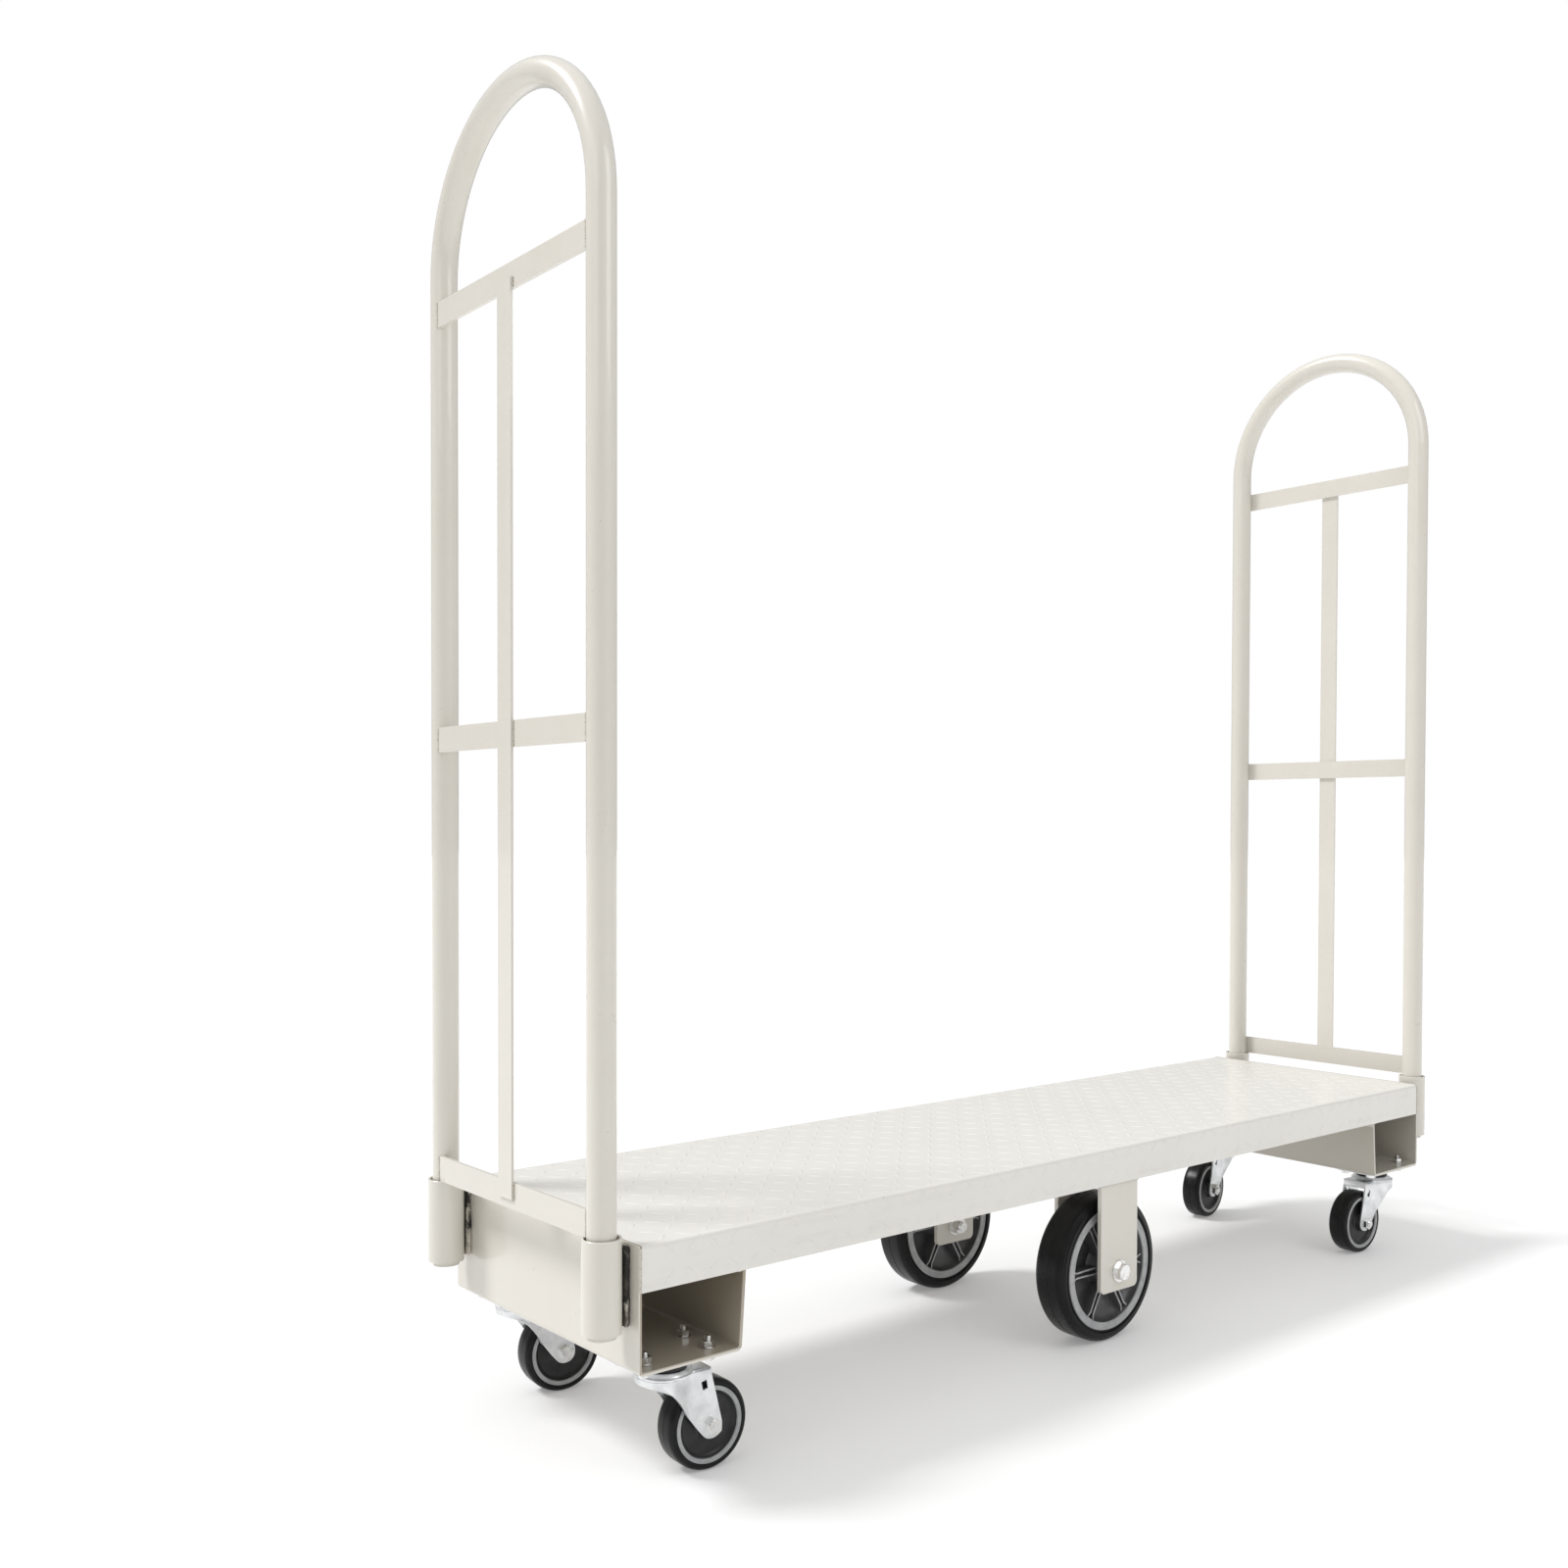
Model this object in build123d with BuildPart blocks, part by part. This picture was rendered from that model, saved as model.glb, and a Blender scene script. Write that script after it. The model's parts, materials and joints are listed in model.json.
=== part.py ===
from build123d import *
import math
import os

os.makedirs("parts", exist_ok=True)

# Flatbed platform truck: a narrow deck on six wheels with a lift-out handle at each end.
# All sizes are in millimetres. The origin is on the floor under the middle of the deck,
# +X runs from the front handle to the rear one, +Y from the left side to the right, +Z up.

ENDS = {"front": -1, "rear": 1}
SIDES = {"left": -1, "right": 1}
CORNERS = [(end, side) for end in ENDS for side in SIDES]

# ------------------------------------------------------------------ driving dimensions
# Deck: one sheet folded down along both long sides
frame_length = 1590.0  # over the outer webs of the end channels
deck_width = 400.0
deck_sheet = 3.0
skirt_depth = 50.0
deck_bend = 5.0  # outer radius of the folds

# End channels: folded plate across each end, open at both sides
channel_plate = 4.0
channel_depth = 138.0  # underside of the channel to the loading surface
channel_base = 136.0  # length of the bottom
channel_mouth = 145.0  # length at the top, where the inner wall meets the deck
channel_bend = 7.0

# Handle tubes and the sleeves that hold them
tube_diameter = 32.0
tube_wall = 2.0
tube_inset = 26.0  # middle of a leg in from the side of the deck
tube_play = 2.5  # radial gap between tube and sleeve
tube_tail = 5.0  # length that shows below the sleeve
handle_height = 1555.0  # floor to the top of the arch
sleeve_wall = 3.0
sleeve_edge = 0.5  # chamfer round the rim
sleeve_length = 100.0
sleeve_rise = 9.0  # rim above the deck
sleeve_standoff = 7.5  # sleeve to end channel, bridged by the packing strip
strip_width = 12.0
strip_margin = 4.0  # strip short of the sleeve's foot and of the deck's top
scribe_fit = 0.05  # gap left where a flat piece is scribed to a round one

# Flat bars of the handles
bar_width = 30.0
bar_thick = 4.0
bar_inset = 4.5  # middle of a bar inside the outermost line of the tubes
mid_bar_rise = 5.0  # middle bar above the midpoint of the other two
top_bar_drop = 45.0  # top bar below the spring of the arch
upright_width = 30.0
upright_thick = 3.0
upright_lap_top = 12.0  # overlap on the top bar
upright_lap_bottom = 19.0  # overlap on the bottom bar

# Middle wheels, 8 by 2 inches
wheel_diameter = 203.2
wheel_width = 50.8
wheel_tyre_depth = 16.6
wheel_ring_depth = 10.0  # bright rim ring inside the tyre
wheel_groove = 1.6  # depth of the seam in the tread
wheel_edge = 5.0  # tread shoulder radius
web_thick = 10.0
hub_radius = 24.0
hub_length = 60.0
spoke_count = 6
spoke_width = 8.0
spoke_recess = 3.0  # spokes below the face of the ring
spoke_root = 1.0  # spoke ends sunk into hub and ring
core_play = 0.4  # radial, bore of the core round the axle
bearing_radius = 17.5
bearing_width = 12.0
wheel_axle = 14.0
axle_play = 0.05  # radial, between an axle and what turns on it
end_play = 0.3  # along an axle, each side
bolt_play = 0.2  # radial, in bolt holes

# Plates that carry the middle wheels
bracket_width = 78.0
bracket_thick = 6.0
bracket_tail = 26.6  # lower edge below the axle
bracket_corner = 8.0
bracket_gap = 70.0  # between the two plates of a wheel

# Fasteners: width across flats, head, nut and washer sizes, thread past the nut
axle_hex = 21.0
axle_head_thick = 9.0
axle_nut_thick = 11.0
axle_washer_radius = 15.0
axle_washer_thick = 2.0
axle_thread_out = 6.0
spacer_wall = 4.0
plate_hex = 13.0
plate_head_thick = 5.5
plate_nut_thick = 6.5
plate_washer_radius = 8.5
plate_washer_thick = 1.6
plate_thread_out = 5.0
caster_hex = 17.0
caster_head_thick = 6.5
caster_nut_thick = 8.0
caster_thread_out = 3.0
hex_chamfer = 0.8
thread_chamfer = 1.0

# Swivel casters, 4 inches
caster_diameter = 101.6
caster_width = 32.0
caster_inset_x = 65.0  # swivel axis from the end of the frame
caster_inset_y = 46.0  # swivel axis from the side of the deck
caster_trail = 49.0
caster_tyre_depth = 8.3
caster_ring_depth = 4.5
caster_groove = 1.0
caster_edge = 4.0
caster_hub_radius = 15.0
caster_disc = 20.0  # thickness of the closed wheel disc
caster_axle = 10.0
caster_angles = {  # direction of each trail at rest, degrees from +X
    ("front", "left"): -3.0,
    ("front", "right"): -6.0,
    ("rear", "left"): 177.0,
    ("rear", "right"): 187.0,
}
top_plate_x = 108.0
top_plate_y = 72.0
top_plate_thick = 4.0
top_plate_corner = 10.0
plate_holes_x = 84.0
plate_holes_y = 46.0
plate_bolt = 8.0
race_radius = 27.0
race_height = 5.0
race_wall = 8.0
race_edge = 1.5
seal_radius = 25.0
seal_height = 4.0
ball_diameter = 8.4
ball_count = 8
kingpin_diameter = 12.0
kingpin_head = 22.0
kingpin_head_thick = 3.0
fork_sheet = 3.0
fork_gap = 36.0  # between the legs
fork_crown_radius = 34.0
fork_rim_depth = 8.0  # rim turned down round the front of the crown
fork_crown_height = 5.0
fork_crown_taper = 8.0  # degrees
fork_headroom = 13.1  # wheel to the underside of the fork's top
fork_back = 47.0  # rear edge of the fork's top from the swivel axis
fork_front = 14.0  # front edge of the legs from the swivel axis
fork_eye = 13.0  # radius round the axle
fork_cheek = 12.0  # straight depth of the legs below the top
window_inset = 8.0  # middle of each leg's small window in from the fork's rear edge
window_drop = 19.0  # and below its top
window_width = 6.0
window_height = 10.0
window_lean = 12.0  # degrees, along the sloping rear edge

# ------------------------------------------------------------------ sizes that follow
wheel_radius = wheel_diameter / 2
wheel_ring_outer = wheel_radius - wheel_tyre_depth
wheel_ring_inner = wheel_ring_outer - wheel_ring_depth
caster_radius = caster_diameter / 2
caster_ring_outer = caster_radius - caster_tyre_depth
caster_ring_inner = caster_ring_outer - caster_ring_depth
# Each caster is stacked up from its wheel, and the end channels rest on the casters.
fork_top = caster_diameter + fork_headroom + fork_sheet
crown_top = fork_top + fork_crown_height
seal_foot = crown_top + end_play
race_foot = seal_foot + seal_height
plate_foot = race_foot + race_height
channel_floor = plate_foot + top_plate_thick
deck_height = channel_floor + channel_depth
deck_underside = deck_height - deck_sheet
skirt_foot = deck_height - skirt_depth
deck_length = frame_length - 2 * channel_plate
tube_radius = tube_diameter / 2
sleeve_bore = tube_radius + tube_play
sleeve_radius = sleeve_bore + sleeve_wall
sleeve_out = sleeve_radius + sleeve_standoff  # sleeve axis outside the frame's end
sleeve_top = deck_height + sleeve_rise
sleeve_foot = sleeve_top - sleeve_length
tube_foot = sleeve_foot - tube_tail
leg = deck_width / 2 - tube_inset  # each leg from the middle line, and radius of the arch
arch_spring = handle_height - tube_radius - leg
bottom_bar_height = sleeve_top + bar_width / 2  # the bottom bar rests on the sleeves' rims
top_bar_height = arch_spring - top_bar_drop
mid_bar_height = (bottom_bar_height + top_bar_height) / 2 + mid_bar_rise
bar_offset = tube_radius - bar_inset
fork_half = fork_gap / 2 + fork_sheet
bracket_outer = deck_width / 2 - deck_sheet  # outer face of the outer plate
wheel_offset = bracket_outer - bracket_thick - bracket_gap / 2  # wheel from the middle line
bracket_foot = wheel_radius - bracket_tail


def finish(piece, name):
    """Label a finished piece and write it as one STEP file."""
    piece.part.label = name
    export_step(piece.part, f"parts/{name}.step")


def hexagon_radius(across_flats):
    """Corner radius of a hexagon with the given width across its flats."""
    return across_flats / math.sqrt(3)


# ------------------------------------------------------------------ deck and end channels
with BuildPart() as deck:
    with BuildSketch(Plane.YZ.offset(-deck_length / 2)):
        with Locations((0, deck_height - skirt_depth / 2)):
            Rectangle(deck_width, skirt_depth)
        with Locations((0, deck_underside - skirt_depth / 2)):
            Rectangle(deck_width - 2 * deck_sheet, skirt_depth, mode=Mode.SUBTRACT)
    extrude(amount=deck_length)
    fillet(deck.edges().filter_by(Axis.X).group_by(Axis.Z)[1], deck_bend - deck_sheet)
    fillet(deck.edges().filter_by(Axis.X).group_by(Axis.Z)[-1], deck_bend)
finish(deck, "deck")


def corner_of(end, side):
    """Swivel axis of the caster at one corner, as x and y."""
    x = ENDS[end] * (frame_length / 2 - caster_inset_x)
    y = SIDES[side] * (deck_width / 2 - caster_inset_y)
    return x, y


for end, direction in ENDS.items():
    # Local x runs inwards along the truck, local y up, from the frame's end.
    section_plane = Plane(
        origin=(direction * frame_length / 2, 0, 0),
        x_dir=(-direction, 0, 0),
        z_dir=(0, direction, 0),
    )
    lean = (channel_mouth - channel_base) / (deck_underside - channel_floor)
    wall_run = channel_plate * math.hypot(1, lean)
    inner_floor = channel_floor + channel_plate
    inner_corner = channel_base + lean * channel_plate - wall_run
    with BuildPart() as end_channel:
        with BuildSketch(section_plane):
            with BuildLine():
                Polyline(
                    (0, deck_height),
                    (0, channel_floor),
                    (channel_base, channel_floor),
                    (channel_mouth, deck_underside),
                    (channel_mouth - wall_run, deck_underside),
                    (inner_corner, inner_floor),
                    (channel_plate, inner_floor),
                    (channel_plate, deck_height),
                    close=True,
                )
            make_face()
            fillet(vertices().group_by(Axis.Y)[0], channel_bend)
            inner_bends = [v for v in vertices() if abs(v.Y - inner_floor) < 0.01]
            fillet(inner_bends, channel_bend - channel_plate)
        extrude(amount=deck_width / 2, both=True)
        # The inner wall is notched to pass inside the skirts and meet the sheet.
        add(deck.part, mode=Mode.SUBTRACT)
        notch_x = direction * (frame_length / 2 - channel_plate - channel_mouth / 2)
        notch_y = (deck_width - deck_sheet) / 2
        with Locations(*[(notch_x, i * notch_y, deck_height - skirt_depth / 2) for i in (-1, 1)]):
            Box(channel_mouth, deck_sheet, skirt_depth, mode=Mode.SUBTRACT)
        for side in SIDES:
            x, y = corner_of(end, side)
            with Locations((x, y, channel_floor)):
                with GridLocations(plate_holes_x, plate_holes_y, 2, 2):
                    Hole(plate_bolt / 2 + bolt_play, 2 * channel_plate)
    finish(end_channel, f"end_channel_{end}")

# ------------------------------------------------------------------ handle sockets
for end, side in CORNERS:
    x = ENDS[end] * (frame_length / 2 + sleeve_out)
    y = SIDES[side] * leg
    with BuildPart() as sleeve:
        with BuildSketch(Plane.XY.offset(sleeve_foot)):
            with Locations((x, y)):
                Circle(sleeve_radius)
                Circle(sleeve_bore, mode=Mode.SUBTRACT)
        extrude(amount=sleeve_length)
        chamfer(sleeve.edges().group_by(Axis.Z)[-1], sleeve_edge)
    finish(sleeve, f"handle_socket_{end}_{side}")

# Flat strips between each sleeve and its end channel, scribed to the sleeve
with BuildPart() as strips:
    for end, side in CORNERS:
        x_sleeve = ENDS[end] * (frame_length / 2 + sleeve_out)
        x_strip = ENDS[end] * (frame_length / 2 + sleeve_out / 2)
        y = SIDES[side] * leg
        with BuildSketch(Plane.XY.offset(sleeve_foot + strip_margin)):
            with Locations((x_strip, y)):
                Rectangle(sleeve_out, strip_width)
            with Locations((x_sleeve, y)):
                Circle(sleeve_radius + scribe_fit, mode=Mode.SUBTRACT)
        extrude(amount=sleeve_length - sleeve_rise - 2 * strip_margin)
finish(strips, "socket_packing_strips")

# ------------------------------------------------------------------ handles
for end, direction in ENDS.items():
    x_tube = direction * (frame_length / 2 + sleeve_out)
    x_bar = x_tube + direction * bar_offset
    x_upright = x_bar + direction * (bar_thick + upright_thick) / 2

    with BuildPart() as tube:
        with BuildLine(Plane(origin=(x_tube, 0, 0), x_dir=(0, 1, 0), z_dir=(1, 0, 0))):
            Line((-leg, tube_foot), (-leg, arch_spring))
            ThreePointArc((-leg, arch_spring), (0, arch_spring + leg), (leg, arch_spring))
            Line((leg, arch_spring), (leg, tube_foot))
        with BuildSketch(Plane(origin=(x_tube, -leg, tube_foot), z_dir=(0, 0, 1))):
            Circle(tube_radius)
            Circle(tube_radius - tube_wall, mode=Mode.SUBTRACT)
        sweep()
    finish(tube, f"handle_tube_{end}")

    with BuildPart() as crossbars:
        for middle in (bottom_bar_height, mid_bar_height, top_bar_height):
            with BuildSketch(Plane.XY.offset(middle - bar_width / 2)):
                with Locations((x_bar, 0)):
                    Rectangle(bar_thick, 2 * leg)
                with Locations((x_tube, -leg), (x_tube, leg)):
                    Circle(tube_radius + scribe_fit, mode=Mode.SUBTRACT)
            extrude(amount=bar_width)
    finish(crossbars, f"handle_crossbars_{end}")

    upright_foot = bottom_bar_height + bar_width / 2 - upright_lap_bottom
    upright_head = top_bar_height - bar_width / 2 + upright_lap_top
    with BuildPart() as upright:
        with BuildSketch(Plane.XY.offset(upright_foot)):
            with Locations((x_upright, 0)):
                Rectangle(upright_thick, upright_width)
        extrude(amount=upright_head - upright_foot)
    finish(upright, f"handle_upright_{end}")

# ------------------------------------------------------------------ middle wheel brackets
bracket_faces = {
    "outer": bracket_outer - bracket_thick,
    "inner": bracket_outer - 2 * bracket_thick - bracket_gap,
}


def outward_plane(side, distance):
    """Upright plane along the truck, facing outwards, at a distance from the middle."""
    direction = SIDES[side]
    return Plane(
        origin=(0, direction * distance, 0),
        x_dir=(-direction, 0, 0),
        z_dir=(0, direction, 0),
    )


for side in SIDES:
    for place, distance in bracket_faces.items():
        with BuildPart() as bracket:
            with BuildSketch(outward_plane(side, distance)):
                with Locations((0, (bracket_foot + deck_underside) / 2)):
                    Rectangle(bracket_width, deck_underside - bracket_foot)
                fillet(vertices().group_by(Axis.Y)[0], bracket_corner)
                with Locations((0, wheel_radius)):
                    Circle(wheel_axle / 2 + bolt_play, mode=Mode.SUBTRACT)
            extrude(amount=bracket_thick)
            # The outer plate clears the inside of the deck's fold.
            if place == "outer":
                top_edges = bracket.edges().filter_by(Axis.X).group_by(Axis.Z)[-1]
                outer_edge = max(top_edges, key=lambda edge: abs(edge.center().Y))
                chamfer(outer_edge, deck_bend - deck_sheet)
        finish(bracket, f"wheel_bracket_{place}_{side}")

washer_faces = [bracket_outer, bracket_faces["inner"] - axle_washer_thick]
nut_face = washer_faces[1] - axle_nut_thick
shank_start = nut_face - axle_thread_out
head_face = bracket_outer + axle_washer_thick

for side in SIDES:
    with BuildPart() as axle:
        with BuildSketch(outward_plane(side, shank_start)):
            with Locations((0, wheel_radius)):
                Circle(wheel_axle / 2)
        extrude(amount=head_face - shank_start)
        chamfer(axle.edges().sort_by(Axis.Y)[0 if side == "right" else -1], thread_chamfer)
        with BuildSketch(outward_plane(side, head_face)):
            with Locations((0, wheel_radius)):
                RegularPolygon(hexagon_radius(axle_hex), 6)
        extrude(amount=axle_head_thick)
        chamfer(axle.edges().group_by(Axis.Y)[-1 if side == "right" else 0], hex_chamfer)
    finish(axle, f"wheel_axle_bolt_{side}")

with BuildPart() as axle_washers:
    for side in SIDES:
        for distance in washer_faces:
            with BuildSketch(outward_plane(side, distance)):
                with Locations((0, wheel_radius)):
                    Circle(axle_washer_radius)
                    Circle(wheel_axle / 2 + bolt_play, mode=Mode.SUBTRACT)
            extrude(amount=axle_washer_thick)
finish(axle_washers, "wheel_axle_washers")

with BuildPart() as axle_nuts:
    for side in SIDES:
        with BuildSketch(outward_plane(side, nut_face)):
            with Locations((0, wheel_radius)):
                RegularPolygon(hexagon_radius(axle_hex), 6)
                Circle(wheel_axle / 2, mode=Mode.SUBTRACT)
        extrude(amount=axle_nut_thick)
finish(axle_nuts, "wheel_axle_nuts")

# Spacer tubes that hold each wheel in the middle of its bracket
spacer_length = (bracket_gap - hub_length) / 2 - end_play
with BuildPart() as spacers:
    for side in SIDES:
        outer_start = bracket_faces["outer"] - spacer_length
        inner_start = bracket_faces["inner"] + bracket_thick
        for distance in (outer_start, inner_start):
            with BuildSketch(outward_plane(side, distance)):
                with Locations((0, wheel_radius)):
                    Circle(wheel_axle / 2 + spacer_wall)
                    Circle(wheel_axle / 2 + bolt_play, mode=Mode.SUBTRACT)
            extrude(amount=spacer_length)
finish(spacers, "wheel_axle_spacers")

# ------------------------------------------------------------------ middle wheels
for side, direction in SIDES.items():
    hub_centre = (0, direction * wheel_offset, wheel_radius)
    # Local x runs outwards along the axle, local y away from it.
    wheel_section = Plane(origin=hub_centre, x_dir=(0, direction, 0), z_dir=(direction, 0, 0))
    wheel_line = Axis(hub_centre, (0, 1, 0))

    with BuildPart() as tyre:
        with BuildSketch(wheel_section):
            with Locations((0, wheel_radius - wheel_tyre_depth / 2)):
                Rectangle(wheel_width, wheel_tyre_depth)
            fillet(vertices().group_by(Axis.Y)[-1], wheel_edge)
            with Locations((0, wheel_radius)):
                Rectangle(wheel_groove, 2 * wheel_groove, mode=Mode.SUBTRACT)
        revolve(axis=wheel_line)
    finish(tyre, f"wheel_tyre_{side}")

    with BuildPart() as core:
        with BuildSketch(wheel_section):
            with Locations((0, wheel_ring_outer - wheel_ring_depth / 2)):
                Rectangle(wheel_width, wheel_ring_depth)
            with Locations((0, wheel_ring_inner / 2)):
                Rectangle(web_thick, wheel_ring_inner)
            with Locations((0, hub_radius / 2)):
                Rectangle(hub_length, hub_radius)
            with Locations((0, 0)):
                Rectangle(hub_length, wheel_axle + 2 * core_play, mode=Mode.SUBTRACT)
            pocket = (hub_length - bearing_width) / 2
            with Locations((-pocket, 0), (pocket, 0)):
                Rectangle(bearing_width, 2 * bearing_radius, mode=Mode.SUBTRACT)
        revolve(axis=wheel_line)
        spoke_length = wheel_ring_inner - hub_radius
        with BuildSketch(outward_plane(side, wheel_offset)):
            with Locations((0, wheel_radius)):
                with PolarLocations(hub_radius + spoke_length / 2, spoke_count):
                    Rectangle(spoke_length + 2 * spoke_root, spoke_width)
        extrude(amount=wheel_width / 2 - spoke_recess, both=True)
    finish(core, f"wheel_core_{side}")

    with BuildPart() as bearings:
        with BuildSketch(wheel_section):
            with Locations((-pocket, 0), (pocket, 0)):
                Rectangle(bearing_width, 2 * bearing_radius)
                Rectangle(bearing_width, wheel_axle + 2 * axle_play, mode=Mode.SUBTRACT)
            with Locations((0, -bearing_radius)):
                Rectangle(hub_length, 2 * bearing_radius, mode=Mode.SUBTRACT)
        revolve(axis=wheel_line)
    finish(bearings, f"wheel_bearings_{side}")

# ------------------------------------------------------------------ casters, fixed half
nut_seat = channel_floor + channel_plate + plate_washer_thick


def bolt_pattern(end, side):
    """Positions of the four bolts of one caster, as x and y."""
    x, y = corner_of(end, side)
    half_x, half_y = plate_holes_x / 2, plate_holes_y / 2
    return [(x + i * half_x, y + j * half_y) for i in (-1, 1) for j in (-1, 1)]


for end, side in CORNERS:
    with BuildPart() as top_plate:
        with BuildSketch(Plane.XY.offset(plate_foot)):
            with Locations(corner_of(end, side)):
                RectangleRounded(top_plate_x, top_plate_y, top_plate_corner)
                Circle(kingpin_diameter / 2 + scribe_fit, mode=Mode.SUBTRACT)
            with Locations(bolt_pattern(end, side)):
                Circle(plate_bolt / 2 + bolt_play, mode=Mode.SUBTRACT)
        extrude(amount=top_plate_thick)
        with BuildSketch(Plane.XY.offset(race_foot)):
            with Locations(corner_of(end, side)):
                Circle(race_radius)
                Circle(race_radius - race_wall, mode=Mode.SUBTRACT)
        extrude(amount=race_height)
        fillet(top_plate.edges().filter_by(GeomType.CIRCLE).group_by(Axis.Z)[0][0], race_edge)
    finish(top_plate, f"caster_plate_{end}_{side}")

with BuildPart() as seals:
    for end, side in CORNERS:
        with BuildSketch(Plane.XY.offset(seal_foot)):
            with Locations(corner_of(end, side)):
                Circle(seal_radius)
                Circle(race_radius - race_wall, mode=Mode.SUBTRACT)
        extrude(amount=seal_height)
finish(seals, "caster_dust_seals")

with BuildPart() as kingpins:
    for end, side in CORNERS:
        head_foot = fork_top - fork_sheet - end_play - kingpin_head_thick
        with BuildSketch(Plane.XY.offset(head_foot)):
            with Locations(corner_of(end, side)):
                Circle(kingpin_head / 2)
        extrude(amount=kingpin_head_thick)
        with BuildSketch(Plane.XY.offset(head_foot + kingpin_head_thick)):
            with Locations(corner_of(end, side)):
                Circle(kingpin_diameter / 2)
        extrude(amount=channel_floor - head_foot - kingpin_head_thick)
finish(kingpins, "caster_kingpins")

with BuildPart() as balls:
    ball_ring = (kingpin_diameter / 2 + race_radius - race_wall) / 2
    ball_height = plate_foot - end_play - ball_diameter / 2
    for end, side in CORNERS:
        x, y = corner_of(end, side)
        with Locations((x, y, ball_height)):
            with PolarLocations(ball_ring, ball_count):
                Sphere(ball_diameter / 2)
finish(balls, "caster_swivel_balls")

with BuildPart() as plate_bolts:
    shank_top = nut_seat + plate_nut_thick + plate_thread_out
    for end, side in CORNERS:
        with BuildSketch(Plane.XY.offset(plate_foot)):
            with Locations(bolt_pattern(end, side)):
                Circle(plate_bolt / 2)
        extrude(amount=shank_top - plate_foot)
        with BuildSketch(Plane.XY.offset(plate_foot)):
            with Locations(bolt_pattern(end, side)):
                RegularPolygon(hexagon_radius(plate_hex), 6)
        extrude(amount=-plate_head_thick)
    chamfer(plate_bolts.edges().group_by(Axis.Z)[-1], thread_chamfer)
finish(plate_bolts, "caster_plate_bolts")

with BuildPart() as plate_washers:
    for end, side in CORNERS:
        with BuildSketch(Plane.XY.offset(nut_seat - plate_washer_thick)):
            with Locations(bolt_pattern(end, side)):
                Circle(plate_washer_radius)
                Circle(plate_bolt / 2 + bolt_play, mode=Mode.SUBTRACT)
        extrude(amount=plate_washer_thick)
finish(plate_washers, "caster_plate_washers")

with BuildPart() as plate_nuts:
    for end, side in CORNERS:
        with BuildSketch(Plane.XY.offset(nut_seat)):
            with Locations(bolt_pattern(end, side)):
                RegularPolygon(hexagon_radius(plate_hex), 6)
                Circle(plate_bolt / 2, mode=Mode.SUBTRACT)
        extrude(amount=plate_nut_thick)
finish(plate_nuts, "caster_plate_nuts")

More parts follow.
